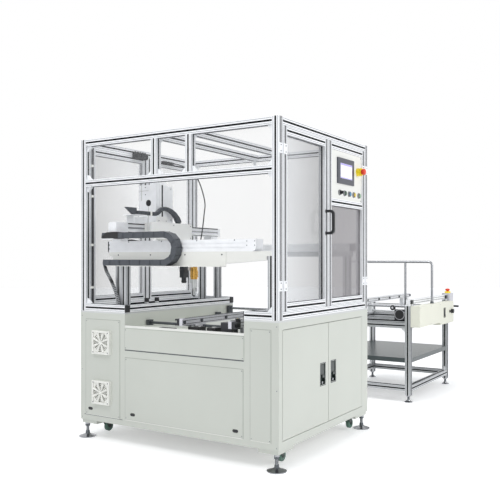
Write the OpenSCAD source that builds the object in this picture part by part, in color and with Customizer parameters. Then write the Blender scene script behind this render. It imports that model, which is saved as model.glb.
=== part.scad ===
// Inline dispensing machine with a free-standing outfeed table.
// X runs along the front doors, Y runs into the machine, Z is up from the floor.
// The origin is the underside of the foot at the near left corner.

/* [Machine] */
// Width along the front doors
machine_w = 1100; // [1080:10:1200]
// Length along the infeed side
machine_l = 1350; // [1340:10:1450]
// Height from the floor to the top of the enclosure
machine_h = 1750; // [1730:10:1850]
// Height of the cabinet under its deck plates
cabinet_top = 735; // [720:5:760]
// Height of the cabinet's lower edge
skirt_z = 105; // [98:1:112]
// Thickness of the sheet metal
sheet = 3; // [2:0.5:4]
// Thickness of the deck plates
deck_t = 10; // [8:1:14]

/* [Profiles] */
// Side of the aluminium profiles
bar = 40; // [38:1:42]
// Width of a profile's slot
slot_w = 8; // [6:0.5:10]
// Depth of a profile's slot
slot_depth = 10; // [8:0.5:12]
// Thickness of the lips that hold a slot nut
slot_lip = 4; // [3:0.5:5]
// Width of the room behind the lips
slot_room = 16; // [14:1:18]

/* [Tunnel] */
// Near edge of the board tunnel along Y
tunnel_y0 = 202; // [190:1:215]
// Far edge of the board tunnel along Y
tunnel_y1 = 1004; // [995:1:1020]
// Depth of the tunnel under the cabinet top
tunnel_depth = 75; // [70:1:80]

/* [Doors] */
// Gap around a door
door_gap = 3; // [3:0.5:4]
// Depth of a cabinet door
tray_d = 20; // [18:1:24]
// Left margin beside the cabinet doors
margin_left = 38; // [34:1:42]
// Right margin beside the cabinet doors
margin_right = 88; // [80:1:95]
// Height of the cabinet doors' lower edge
tray_z0 = 150; // [145:1:160]
// Distance from the cabinet doors' upper edge to the cabinet top
tray_drop = 40; // [36:1:50]
// Radius of the hinge pins
pin_r = 3; // [2.5:0.1:3.5]
// Running clearance around pins and shafts
run_gap = 0.05; // [0.02:0.01:0.08]
// Thickness of the window panels
pane_t = 5; // [4:0.5:6]
// Gap that seats a piece on its neighbour
seat = 0.3; // [0.2:0.05:0.4]

/* [Controls] */
// Height of the control panel
panel_h = 278; // [272:1:284]
// Radius of the control holes
control_r = 11; // [10:0.5:12]
// Width of the touch screen
screen_w = 223; // [210:1:235]
// Height of the touch screen
screen_h = 148; // [140:1:155]

/* [Gantry] */
// Height of the gantry legs above the deck
leg_h = 318; // [300:1:330]
// Thickness of the support rails
support_t = 24; // [20:1:28]
// Height of the infeed module
module_h = 64; // [60:1:68]
// Width of the linear modules
module_w = 70; // [64:1:74]
// Depth of the beam along Y
beam_d = 65; // [60:1:70]
// Height of the beam
beam_h = 57; // [52:1:62]
// Height of the beam's underside above the deck
beam_rise = 458; // [454:1:466]
// Far face of the beam's front side along Y
beam_y = 1092; // [1080:1:1100]
// Height of a link of the long chain
link_h = 34; // [30:1:36]
// Width of a link of the long chain
link_w = 54; // [50:1:55]
// Bending radius of the long chain
chain_r = 77.5; // [74:0.5:82]

/* [Conveyor] */
// Height of the conveyor rails' upper edge
rail_top = 728; // [724:1:732]
// Height of a conveyor rail
rail_h = 38; // [36:1:40]
// Thickness of a conveyor rail
rail_t = 20; // [18:1:22]
// Near face of the fixed rail along Y
rail_y0 = 284; // [276:1:290]
// Near face of the sliding rail along Y
rail_y1 = 600; // [590:1:610]
// Radius of the guide rods
rod_r = 8; // [7:0.5:9]

/* [Outfeed table] */
// Distance from the machine's far side to the table's near legs
table_gap = 868; // [840:4:900]
// Length of the table between leg centres
table_l = 900; // [880:10:960]
// Width of the table between leg centres
table_w = 651; // [640:1:700]
// Height of the table's legs
table_h = 704; // [700:1:710]
// Height of the portal
portal_h = 1036; // [1000:2:1060]
// Radius of the portal's tube
tube_r = 9; // [8:0.5:10]

/* [Hidden] */
$fn = 48;
eps = 0.01;

// Levels and lines that several pieces share
foot_inset = 28;
foot_r = 50;
stem_r = 8;
block_drop = 20;
deck = cabinet_top + deck_t;
roof = machine_h - bar;
mid_z = machine_h - 278;
tunnel_z = cabinet_top - tunnel_depth;
door_z0 = deck + bar + door_gap - 1;
door_z1 = roof - door_gap + 1;
door_mid = machine_w / 2;
centre_gap = 2;
hinge_axis_in = bar + door_gap / 2;
knuckle_r = 6;
hinge_w = 38;
hinge_h = 50;
hinge_zs = [door_z0 + 127, door_z1 - 115];
strut_ys = [536, 774];
tray_z1 = cabinet_top - tray_drop;
tray_pivot = 5;
jamb_fold = 12;
latch_z = 419;
latch_w = 60;
latch_h = 120;
latch_xs = [door_mid - 69, door_mid + 63];
door_w = door_mid - centre_gap - bar - door_gap;
right_x = door_mid + centre_gap;
panel_x0 = right_x + bar + seat;
panel_w = door_w - 2 * (bar + seat);
panel_z0 = door_z1 - bar - panel_h;
panel_face = 6;

// Places of the controls as shares of the panel's width
control_shares = [0.268, 0.428, 0.579, 0.732, 0.907];
estop_share = 0.869;
screen_share = 0.4505;
control_xs = [for (share = control_shares) panel_x0 + share * panel_w];
control_z = panel_z0 + 40;
estop_x = panel_x0 + estop_share * panel_w;
estop_z = panel_z0 + 182;
screen_x = panel_x0 + screen_share * panel_w - screen_w / 2;
screen_z = panel_z0 + 92;
fan_y = 1177;
fan_zs = [277, 566];
fan_size = 135;
fan_bore = 55;
caster_in = [130, 75];
caster_r = 30;
caster_axle_z = 42;
caster_trail = 25;
corner_signs = [[0, 0], [1, 0], [0, 1], [1, 1]];

// Gantry levels
support_z = deck + leg_h;
module_z = support_z + support_t;
module_x = 60;
far_module_x = machine_w - 135;
far_module_z = module_z + 8;
far_module_h = 48;
beam_z = deck + beam_rise;
beam_x0 = 30;
beam_x1 = machine_w - 37;
plate_z = beam_z + beam_h + 8;
head_y = beam_y - 14;
module_d = 48;
z_module_x = 300;
z_module_w = 100;
grommet_r = 18;
z_top = deck + 765;
valve_x = 565;
valve_y = 940;
valve_z = deck + 212;
cover_x0 = 410;
cover_x1 = 609;
cover_y = head_y - 88;
cover_z = deck + 523;
x_chain_y = head_y - module_d - 24;
x_chain_w = 20;
x_chain_h = 22;
chain_x = 2;
gantry_y0 = 60;
module_y0 = 232;
apron_y0 = 352;
apron_y1 = beam_y + 58;
rear_leg_y = beam_y - 42;
chain_y = beam_y + 77;
ledge_z = support_z - 56;
chain_lower = ledge_z + 3 + seat + link_h / 2;

// Conveyor lines
shaft_x = machine_w - 60;
shaft_z = rail_top - 17;
rod_z = tunnel_z + 16;
rod_xs = [200, machine_w - 200];

// Table lines, measured from its near leg
table_x = machine_w + table_gap + bar / 2;
table_y = 51;
ring_z = table_h - 164;
shelf_z = 290;
shelf_h = 33;
beam_drop = 72;
table_rod_z = table_h - beam_drop + bar / 2;
table_rod_xs = [140, table_l - 60];
table_rail_y = 340;
table_rail_h = 35;
table_rail_z = table_h + 11;
table_shaft_x = 34;
table_shaft_z = table_h - 7;
crank_x = table_l + 45;
crank_z = table_h - 54;
motor_z = table_h - 59;
switch_x = table_l - 289;
switch_z = table_h - 84;
knob_x = table_l - 100;
knob_z = table_h - 82;
box_split = 496;
stop_x = table_l + 75;
stop_y = 2;
stop_z = table_h + 57;

// Frame of reference: the drawing corner is moved so that the near foot stands on the origin
module on_foot() translate([-foot_inset, -foot_inset, 0]) children();
module at_table() on_foot() translate([table_x, table_y, 0]) children();

// A slotted profile's outline, centred
module slot() {
    translate([-slot_w / 2, bar / 2 - slot_depth]) square([slot_w, slot_depth + 1]);
    translate([-slot_room / 2, bar / 2 - slot_depth]) square([slot_room, slot_depth - slot_lip]);
}
module profile() difference() {
    square(bar, center = true);
    for (turn = [0:90:270]) rotate(turn) slot();
}
module bar_x(x0, x1, y, z)
    translate([x0, y + bar / 2, z + bar / 2]) rotate([90, 0, 90]) linear_extrude(x1 - x0) profile();
module bar_y(y0, y1, x, z)
    translate([x + bar / 2, y1, z + bar / 2]) rotate([90, 0, 0]) linear_extrude(y1 - y0) profile();
module bar_z(z0, z1, x, y)
    translate([x + bar / 2, y + bar / 2, z0]) linear_extrude(z1 - z0) profile();

// Boxes and round bars given by their limits
module block(low, high) translate(low) cube(high - low);
module rod_x(x0, x1, y, z, r) translate([x0, y, z]) rotate([0, 90, 0]) cylinder(r = r, h = x1 - x0);
module rod_y(y0, y1, x, z, r) translate([x, y1, z]) rotate([90, 0, 0]) cylinder(r = r, h = y1 - y0);
module rod_z(z0, z1, x, y, r) translate([x, y, z0]) cylinder(r = r, h = z1 - z0);

// Cabinet
module corner_blocks() for (s = corner_signs) difference() {
    translate([s[0] * machine_w, s[1] * machine_l]) mirror([s[0], 0, 0]) mirror([0, s[1], 0])
        block([6, 8, skirt_z - block_drop], [164, 123, skirt_z + eps]);
    caster_place(s) translate([0, 0, skirt_z - block_drop - 1])
        cylinder(r = pin_r + 2 + run_gap, h = block_drop);
}
module caster_place(s)
    translate([s[0] * (machine_w - 2 * caster_in[0]) + caster_in[0],
               s[1] * (machine_l - 2 * caster_in[1]) + caster_in[1]]) children();

module cabinet_shell() on_foot() color("gainsboro") {
    difference() {
        block([0, 0, skirt_z], [machine_w, machine_l, cabinet_top]);
        block([sheet, sheet, skirt_z + sheet], [machine_w - sheet, machine_l - sheet, tunnel_z - sheet]);
        for (side = [[sheet, tunnel_y0 - sheet], [tunnel_y1 + sheet, machine_l - sheet]])
            block([sheet, side[0], tunnel_z - sheet - 1], [machine_w - sheet, side[1], cabinet_top - sheet]);
        block([-1, tunnel_y0, tunnel_z], [machine_w + 1, tunnel_y1, cabinet_top + 1]);
        door_opening();
        tray_pin_holes();
        for (z = fan_zs) rod_x(-1, sheet + 1, fan_y, z, fan_bore + sheet + seat);
    }
    corner_blocks();
    door_jambs();
}
module door_opening()
    block([margin_left - door_gap, -1, tray_z0 - door_gap],
          [machine_w - margin_right + door_gap, sheet + 1, tray_z1 + door_gap]);
module tray_pin_holes()
    for (x = [margin_left + tray_pivot, machine_w - margin_right - tray_pivot])
        rod_z(tray_z0 - door_gap - jamb_fold + 1, tray_z1 + door_gap + jamb_fold - 1, x, tray_pivot,
              pin_r + run_gap);
// Folded returns round the doors and the mullion that they close on
module door_jambs() {
    left = margin_left - door_gap;
    right = machine_w - margin_right + door_gap;
    depth = tray_d + 4;
    fold = jamb_fold;
    low = tray_z0 - door_gap;
    high = tray_z1 + door_gap;
    difference() {
        union() {
            block([left - fold, sheet - eps, low - fold], [left, depth, high + fold]);
            block([right, sheet - eps, low - fold], [right + fold, depth, high + fold]);
            block([left - eps, 0, low - fold], [right + eps, depth, low]);
            block([left - eps, 0, high], [right + eps, depth, high + fold]);
        }
        tray_pin_holes();
    }
    block([door_mid - 15, depth, low - fold], [door_mid + 15, depth + sheet, high + fold]);
}

module panel_x(y0, y1, z0, z1) {
    block([-sheet / 2, y0, z0], [0, y1, z1]);
    block([machine_w, y0, z0], [machine_w + sheet / 2, y1, z1]);
}
module service_panels() on_foot() color("gainsboro") difference() {
    union() {
        panel_x(tunnel_y1 + 38, machine_l - 43, 141, tray_z1 + 1);
        panel_x(46, tunnel_y0 - 38, 141, tray_z1 + 1);
        panel_x(tunnel_y0 + 7, tunnel_y1 - 5, 144, 490);
        panel_x(tunnel_y0 + 2, tunnel_y1 - 2, 538, tunnel_z - 4);
        for (x = [margin_left, door_mid + centre_gap])
            block([x, machine_l, tray_z0],
                  [x + door_mid - centre_gap - margin_left, machine_l + sheet / 2, tray_z1]);
    }
    for (z = fan_zs) rod_x(-sheet, 1, fan_y, z, fan_bore + sheet + seat);
    for (y = plug_ys) oval_plug(y, seat);
}

plug_ys = [254, 944, 1269];
// A blanking plug in a stadium-shaped hole
module oval_plug(y, grow) translate([-sheet, y, 175]) rotate([90, 0, 90])
    linear_extrude(2 * sheet) {
        square([18, 16 + 2 * grow], center = true);
        for (end = [-9, 9]) translate([end, 0]) circle(r = 8 + grow);
    }
module black_caps() on_foot() color("black") {
    for (y = plug_ys) difference() {
        oval_plug(y, 0);
        block([0, y - 30, 150], [sheet + 1, y + 30, 200]);
    }
    for (x = [0, machine_w - bar]) {
        block([x, tunnel_y1 - 4, deck], [x + bar, tunnel_y1, deck + bar]);
        block([x, tunnel_y0, deck], [x + bar, tunnel_y0 + 4, deck + bar]);
    }
}

module work_plate() on_foot() color("lightgray")
    for (y = [[0, tunnel_y0], [tunnel_y1, machine_l]])
        block([0, y[0], cabinet_top], [machine_w, y[1], deck]);

// A filter grille: square rim, rings and spokes, with the fan's housing ring behind it
module fan_grille(z) translate([-sheet / 2, fan_y, z]) rotate([0, -90, 0]) {
    depth = 12;
    difference() {
        translate([0, 0, depth / 2]) cube([fan_size, fan_size, depth], center = true);
        translate([0, 0, -1]) cylinder(r = fan_bore, h = depth + 2);
    }
    difference() {
        translate([0, 0, 7]) cylinder(r = fan_bore + 1, h = 3);
        for (r = [16:11:49]) translate([0, 0, 6]) difference() {
            cylinder(r = r + 8, h = 5);
            translate([0, 0, -1]) cylinder(r = r, h = 7);
            for (turn = [0:45:315]) rotate(turn) translate([0, -2, -1]) cube([60, 4, 7]);
        }
    }
    difference() {
        translate([0, 0, -40]) cylinder(r = fan_bore + sheet, h = 40 + eps);
        translate([0, 0, -41]) cylinder(r = fan_bore, h = 43);
    }
    translate([0, 0, -3]) cylinder(r = fan_bore + sheet / 2, h = 1.5);
    for (turn = [0:120:240]) rotate(turn) translate([12, -4, -40]) cube([fan_bore - 11, 8, 4]);
    translate([0, 0, -40]) cylinder(r = 20, h = 4);
    translate([0, 0, -37]) cylinder(r = pin_r, h = 28);
}
module fan_grilles() on_foot() color("white") for (z = fan_zs) fan_grille(z);
module fan_rotor() on_foot() color("dimgray")
    translate([-sheet / 2, fan_y, fan_zs[0]]) rotate([0, -90, 0]) difference() {
        union() {
            translate([0, 0, -35]) cylinder(r = 20, h = 24);
            for (turn = [0:72:288]) rotate(turn) translate([12, 0, -23]) rotate([35, 0, 0])
                translate([0, -14, -1]) cube([38, 28, 2]);
        }
        translate([0, 0, -36]) cylinder(r = pin_r + run_gap, h = 26);
    }

// A disc foot with its stem and lock nut
module foot(r, top, nut) {
    rotate_extrude() polygon([[0, 0], [r, 0], [r, 5], [r * 0.55, 12], [stem_r + 6, 18], [0, 18]]);
    translate([0, 0, 10]) cylinder(r = stem_r, h = top - 10);
    translate([0, 0, top - nut]) cylinder(r = stem_r + 7, h = nut, $fn = 6);
}
module levelling_feet() {
    on_foot() color("silver") for (s = corner_signs)
        translate([s[0] * (machine_w - 2 * foot_inset) + foot_inset,
                   s[1] * (machine_l - 2 * foot_inset) + foot_inset, 0])
            foot(foot_r, skirt_z - block_drop, 12);
    at_table() color("silver") for (s = corner_signs)
        translate([s[0] * table_l, s[1] * table_w, 0]) foot(30, table_leg_z, 8);
}
table_leg_z = 49;

// A swivel caster: fork with its kingpin and axle, and the wheel on the axle
module caster_fork(s) on_foot() caster_place(s) color("darkslategray") {
    top = skirt_z - block_drop - seat;
    translate([0, 0, top - 4]) cylinder(r = 26, h = 4);
    translate([0, 0, top - 1]) cylinder(r = pin_r + 2, h = 14);
    for (y = [-16, 13]) translate([0, y + 3, 0]) rotate([90, 0, 0]) linear_extrude(3)
        polygon([[-18, top - 3], [18, top - 3], [caster_trail + 9, caster_axle_z + 4],
                 [caster_trail + 6, caster_axle_z - 9], [caster_trail - 8, caster_axle_z - 9]]);
    rod_y(-18, 18, caster_trail, caster_axle_z, 4);
}
module caster_wheel(s) on_foot() caster_place(s) color("black")
    translate([caster_trail, 0, caster_axle_z]) rotate([90, 0, 0]) difference() {
        rotate_extrude() polygon([[0, -12], [caster_r - 4, -12], [caster_r, -8],
            [caster_r, 8], [caster_r - 4, 12], [0, 12]]);
        translate([0, 0, -13]) cylinder(r = 4 + run_gap, h = 26);
    }

// Mounting plate with three servo drives and a controller on rails
module drive_cabinet() on_foot() color("dimgray") {
    plate_y = machine_l - 60;
    block([250, plate_y, skirt_z + sheet], [850, plate_y + sheet, tunnel_z - 40]);
    for (i = [0:2]) block([290 + i * 80, plate_y - 140, 380], [350 + i * 80, plate_y + eps, 550]);
    block([580, plate_y - 90, 400], [800, plate_y + eps, 520]);
    for (z = [240, 330]) block([290, plate_y - 50, z], [800, plate_y + eps, z + 40]);
}

// Enclosure
module enclosure_frame() on_foot() color("silver") {
    far_x = machine_w - bar;
    far_y = machine_l - bar;
    for (x = [0, far_x], y = [0, far_y]) bar_z(deck, machine_h, x, y);
    for (y = [0, far_y], z = [deck, roof]) bar_x(bar, far_x, y, z);
    for (x = [0, far_x]) {
        bar_y(bar, far_y, x, roof);
        bar_y(bar, tunnel_y0, x, deck);
        bar_y(tunnel_y1, far_y, x, deck);
    }
    bar_x(bar, far_x, tunnel_y0 - bar, deck);
    bar_x(bar, far_x, tunnel_y1, deck);
    bar_y(bar, far_y, 0, mid_z);
    for (y = strut_ys) {
        bar_z(mid_z + bar, roof, 0, y);
        bar_x(bar, far_x, y, roof);
    }
    for (x = [bar + seat, door_mid + seat / 2]) translate([x, far_y, 0])
        bar_ring(rear_w, deck + bar + seat, roof - seat);
    for (z = hinge_zs) {
        hinge_leaf(z);
        translate([machine_w, 0, 0]) mirror([1, 0, 0]) hinge_leaf(z);
    }
}
rear_w = door_mid - seat / 2 - bar - seat;
// The four bars of a door or a rear frame
module bar_ring(width, z0, z1) {
    for (x = [0, width - bar]) bar_z(z0, z1, x, 0);
    for (z = [z0, z1 - bar]) bar_x(bar, width - bar, 0, z);
}
// The fixed half of a door hinge: plate, two knuckles and the pin
module hinge_leaf(z) {
    block([hinge_axis_in - hinge_w, -knuckle_r / 2, z - hinge_h / 2],
          [hinge_axis_in - knuckle_r - 1, 0, z + hinge_h / 2]);
    for (low = [z - hinge_h / 2, z + hinge_h / 4]) {
        rod_z(low, low + hinge_h / 4, hinge_axis_in, -knuckle_r, knuckle_r);
        block([hinge_axis_in - knuckle_r - 2, -knuckle_r / 2, low],
              [hinge_axis_in, -knuckle_r / 2 + 2, low + hinge_h / 4]);
    }
    rod_z(z - hinge_h / 2, z + hinge_h / 2, hinge_axis_in, -knuckle_r, pin_r);
}
// The moving half, whose knuckle sits between the fixed ones
module hinge_flap(z) difference() {
    union() {
        block([hinge_axis_in + knuckle_r + 1, -knuckle_r / 2, z - hinge_h / 2],
              [hinge_axis_in + hinge_w, 0, z + hinge_h / 2]);
        rod_z(z - hinge_h / 4 + seat, z + hinge_h / 4 - seat, hinge_axis_in, -knuckle_r, knuckle_r);
        block([hinge_axis_in, -knuckle_r / 2, z - hinge_h / 4 + seat],
              [hinge_axis_in + knuckle_r + 2, -knuckle_r / 2 + 2, z + hinge_h / 4 - seat]);
    }
    rod_z(z - hinge_h, z + hinge_h, hinge_axis_in, -knuckle_r, pin_r + run_gap);
}

// A panel held in the slots of the bars round an opening
tuck = slot_depth - seat;
module pane_y(x0, x1, z0, z1, y)
    block([x0 - tuck, y - pane_t / 2, z0 - tuck], [x1 + tuck, y + pane_t / 2, z1 + tuck]);
module pane_x(y0, y1, z0, z1, x)
    block([x - pane_t / 2, y0 - tuck, z0 - tuck], [x + pane_t / 2, y1 + tuck, z1 + tuck]);

module enclosure_windows() on_foot() color("lightgray", 0.5) {
    bays = [[bar, strut_ys[0]], [strut_ys[0] + bar, strut_ys[1]], [strut_ys[1] + bar, machine_l - bar]];
    for (bay = bays) pane_x(bay[0], bay[1], mid_z + bar, roof, bar / 2);
    block([machine_w - bar / 2 - pane_t / 2, bar - tuck, deck + 330],
          [machine_w - bar / 2 + pane_t / 2, machine_l - bar + tuck, roof + tuck]);
    for (x = [bar + seat, door_mid + seat / 2])
        pane_y(x + bar, x + rear_w - bar, deck + 2 * bar + seat, roof - seat - bar, machine_l - bar / 2);
}

module front_door_left() on_foot() color("silver") {
    translate([bar + door_gap, 0, 0]) bar_ring(door_w, door_z0, door_z1);
    for (z = hinge_zs) hinge_flap(z);
}
module front_window_left() on_foot() color("lightgray", 0.5)
    pane_y(2 * bar + door_gap, door_mid - centre_gap - bar, door_z0 + bar, door_z1 - bar, bar / 2);

module front_door_right() on_foot() color("silver") {
    translate([right_x, 0, 0]) {
        bar_ring(door_w, door_z0, door_z1);
        bar_x(bar, door_w - bar, 0, panel_z0 - bar);
    }
    for (z = hinge_zs) translate([machine_w, 0, 0]) mirror([1, 0, 0]) hinge_flap(z);
}
module front_window_right() on_foot() color("lightgray", 0.5)
    pane_y(right_x + bar, right_x + door_w - bar, door_z0 + bar, panel_z0 - bar, bar / 2);

module control_panel() on_foot() color("white") difference() {
    low = [panel_x0, panel_face, panel_z0 + seat];
    high = [panel_x0 + panel_w, bar - 2, door_z1 - bar - seat];
    block(low, high);
    block(low + [2, 2, 2], high + [-2, 1, -2]);
    for (x = control_xs) rod_y(0, bar, x, control_z, control_r + 2 + seat);
    rod_y(0, bar, estop_x, estop_z, control_r + 2 + seat);
    block([screen_x + 12, 0, screen_z + 10], [screen_x + screen_w - 12, bar, screen_z + screen_h - 10]);
}

// A bow handle with round corners, on two feet
handle_z = deck + 438;
module door_handle() on_foot() color("black") {
    depth = 52;
    length = 135;
    thick = 14;
    corner = 24;
    translate([door_mid - 30, 0, handle_z]) rotate([0, 0, 90]) rotate([90, 0, 0])
        translate([0, 0, -thick / 2]) linear_extrude(thick) difference() {
            bow(depth, length, corner);
            translate([0, thick]) bow(depth - thick, length - 2 * thick, corner - thick + 2);
        }
}
module bow(depth, length, corner) translate([-depth, 0]) union() {
    translate([corner, 0]) square([depth - corner, length]);
    translate([0, corner]) square([depth, length - 2 * corner]);
    for (z = [corner, length - corner]) translate([corner, z]) circle(r = corner);
}

module touch_screen() on_foot() color("dimgray") difference() {
    union() {
        block([screen_x, panel_face - 8, screen_z], [screen_x + screen_w, panel_face, screen_z + screen_h]);
        block([screen_x + 12 + seat, panel_face - eps, screen_z + 10 + seat],
              [screen_x + screen_w - 12 - seat, panel_face + 28, screen_z + screen_h - 10 - seat]);
    }
    block([screen_x + 33, panel_face - 9, screen_z + 32],
          [screen_x + screen_w - 30, panel_face - 7, screen_z + screen_h - 30]);
}

// A control's fixed body: collar in front of the panel and barrel behind it
module bezel(x, z, collar_r, collar_h) difference() {
    union() {
        rod_y(panel_face - collar_h, panel_face, x, z, collar_r);
        rod_y(panel_face - eps, panel_face + 26, x, z, control_r + 2);
    }
    rod_y(panel_face - collar_h - 1, panel_face + 22, x, z, control_r + run_gap);
}
module operator_bezels() on_foot() color("yellow") {
    for (x = control_xs) bezel(x, control_z, control_r + 4, 8);
    bezel(estop_x, estop_z, 24, 28);
}
// A round key in a bezel, standing proud by its lip
module key_body(x) rod_y(panel_face - 12, panel_face + 17, x, control_z, control_r);
module estop_button() on_foot() color("red") {
    rod_y(panel_face - 34, panel_face + 15, estop_x, estop_z, control_r);
    translate([estop_x, panel_face - 33, estop_z]) rotate([90, 0, 0]) rotate_extrude()
        polygon([[0, 0], [15, 0], [19, 4], [19, 12], [14, 18], [0, 20]]);
}
module key_selector() on_foot() color("black") {
    key_body(control_xs[0]);
    block([control_xs[0] - 3, panel_face - 24, control_z - 9],
          [control_xs[0] + 3, panel_face - 11, control_z + 9]);
}
module button_green() on_foot() color("darkgreen") key_body(control_xs[1]);
module button_blue() on_foot() color("steelblue") key_body(control_xs[2]);
module button_yellow() on_foot() color("gold") key_body(control_xs[3]);
module button_start() on_foot() color("green") key_body(control_xs[4]);

// A tray-shaped cabinet door, drawn from its hinge edge, with its latch dish
module tray_door(width, latch_x) {
    left = latch_x - latch_w / 2;
    right = latch_x + latch_w / 2;
    low = latch_z - latch_h / 2;
    high = latch_z + latch_h / 2;
    difference() {
        union() {
            difference() {
                block([0, 0, tray_z0], [width, tray_d, tray_z1]);
                block([2, 2, tray_z0 + 2], [width - 2, tray_d + 1, tray_z1 - 2]);
            }
            block([left, 0, low], [right, tray_d - 2, high]);
            rod_z(tray_z0, tray_z1, tray_pivot, tray_pivot, tray_pivot);
        }
        block([left + 3, -1, low + 3], [right - 3, tray_d - 4, high - 3]);
        rod_x(left - 1, right + 1, 8, high - 10, pin_r + run_gap);
    }
    rod_z(tray_z0 - door_gap - 10, tray_z1 + door_gap + 10, tray_pivot, tray_pivot, pin_r);
    rod_y(4, tray_d - 3, latch_x, low + 14, 8);
}
module cabinet_door_left() on_foot() color("gainsboro")
    translate([margin_left, 0, 0])
        tray_door(door_mid - centre_gap - margin_left, latch_xs[0] - margin_left);
module cabinet_door_right() on_foot() color("gainsboro")
    translate([machine_w - margin_right, 0, 0]) mirror([1, 0, 0])
        tray_door(door_mid - centre_gap - margin_right, machine_w - margin_right - latch_xs[1]);
// A lever that lies in the dish and lifts out at its lower end
module latch_lever(x) {
    pivot_z = latch_z + latch_h / 2 - 10;
    rod_x(x - latch_w / 2 + 0.5, x + latch_w / 2 - 0.5, 8, pivot_z, pin_r);
    block([x - latch_w / 2 + 5, 3, pivot_z - 68], [x + latch_w / 2 - 5, 11, pivot_z]);
    rod_x(x - latch_w / 2 + 5, x + latch_w / 2 - 5, 8, pivot_z, 5);
    block([x - 12, -4, pivot_z - 68], [x + 12, 4, pivot_z - 54]);
}
module latch_lever_left() on_foot() color("darkslategray") latch_lever(latch_xs[0]);
module latch_lever_right() on_foot() color("darkslategray") latch_lever(latch_xs[1]);

// Gantry
module gantry_frame() on_foot() color("silver") {
    for (y = [gantry_y0, rear_leg_y, rear_leg_y + bar]) bar_z(deck, support_z, module_x, y);
    block([module_x, gantry_y0, support_z], [module_x + bar, beam_y + 88, module_z]);
    block([module_x - 3, apron_y0, ledge_z], [module_x, apron_y1, module_z]);
    block([chain_x - 2, apron_y0, ledge_z], [module_x - 3 + eps, apron_y1, ledge_z + 3]);
    brace_y = gantry_y0 + bar + 4;
    translate([module_x, 0, 0]) rotate([90, 0, 90]) linear_extrude(bar)
        polygon([[brace_y, support_z - 21], [brace_y, support_z],
                 [apron_y0 + 8, support_z], [apron_y0 + 8, support_z - 40]]);
    far_x = far_module_x + (module_w - bar) / 2;
    for (y = [gantry_y0 + 12, rear_leg_y - 5, beam_y + 83]) bar_z(deck, support_z, far_x, y);
    block([far_x, gantry_y0, support_z], [far_x + bar, beam_y + 123, far_module_z]);
}

// A linear module's body with its cover strip, along Y
module module_body(x, y0, y1, z, h) {
    difference() {
        block([x, y0, z], [x + module_w, y1, z + h]);
        for (side = [[x - 1, x + 4], [x + module_w - 4, x + module_w + 1]])
            for (low = [z + h * 0.25, z + h * 0.6])
                block([side[0], y0 - 1, low], [side[1], y1 + 1, low + 8]);
        block([x + 12, y0 + 10, z + h - 2], [x + 16, y1 - 10, z + h + 1]);
        block([x + module_w - 16, y0 + 10, z + h - 2], [x + module_w - 12, y1 - 10, z + h + 1]);
    }
}
module y_axis_modules() on_foot() color("lightgray") {
    module_body(module_x, module_y0, beam_y + 90, module_z, module_h);
    translate([module_x, module_y0, module_z]) rotate([90, 0, 90]) linear_extrude(module_w) union() {
        translate([-40, 0]) square([40, module_h]);
        translate([-64, 24]) square([30, module_h - 24]);
        translate([-40, 24]) circle(r = 24);
    }
    module_body(far_module_x, gantry_y0, beam_y + 148, far_module_z, far_module_h);
}

module gantry_beam() on_foot() color("lightgray") {
    difference() {
        block([beam_x0, beam_y, beam_z], [beam_x1, beam_y + beam_d, beam_z + beam_h]);
        for (z = [beam_z + 14, beam_z + beam_h - 22])
            block([beam_x0 + 60, beam_y - 1, z], [beam_x1 - 20, beam_y + 4, z + 8]);
        block([beam_x0 + 60, beam_y + 12, beam_z + beam_h - 2],
              [beam_x1 - 20, beam_y + 16, beam_z + beam_h + 1]);
    }
    block([module_x, beam_y, module_z + module_h + seat],
          [module_x + module_w, beam_y + beam_d, beam_z + eps]);
    block([far_module_x, beam_y, far_module_z + far_module_h + seat],
          [far_module_x + module_w, beam_y + beam_d, beam_z + eps]);
    chain_end_z = chain_lower + 2 * chain_r - link_h / 2 - seat;
    bracket_x = chain_x + link_w + 1;
    block([chain_x - 2, beam_y, chain_end_z - 4], [bracket_x + 3, beam_y + 88, chain_end_z]);
    block([bracket_x, beam_y, chain_end_z - 4], [bracket_x + 3, beam_y + beam_d, beam_z + eps]);
    tray_z = deck + 560;
    block([112, beam_y - 2, beam_z + beam_h - eps], [168, beam_y + 1, tray_z - 3 + eps]);
    block([80, x_chain_y - x_chain_w, tray_z - 3], [168, beam_y + 1, tray_z]);
    translate([0, x_chain_y + x_chain_w / 2, 0]) rotate([90, 0, 0]) linear_extrude(x_chain_w)
        polygon([[8, tray_z + 38], [92, tray_z + 38], [92, tray_z - eps], [66, tray_z - eps]]);
}

// Carriage plate on the beam's near side with the white cover beside the lifting axis
module x_carriage() on_foot() color("white") {
    block([z_module_x - 30, head_y, beam_z - 20], [cover_x1, beam_y - seat, plate_z]);
    block([cover_x0, cover_y, deck + 422], [cover_x1, head_y + eps, cover_z]);
    block([z_module_x - 85, cover_y, deck + 422], [cover_x0 + eps, cover_y + 10, cover_z]);
}
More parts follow.
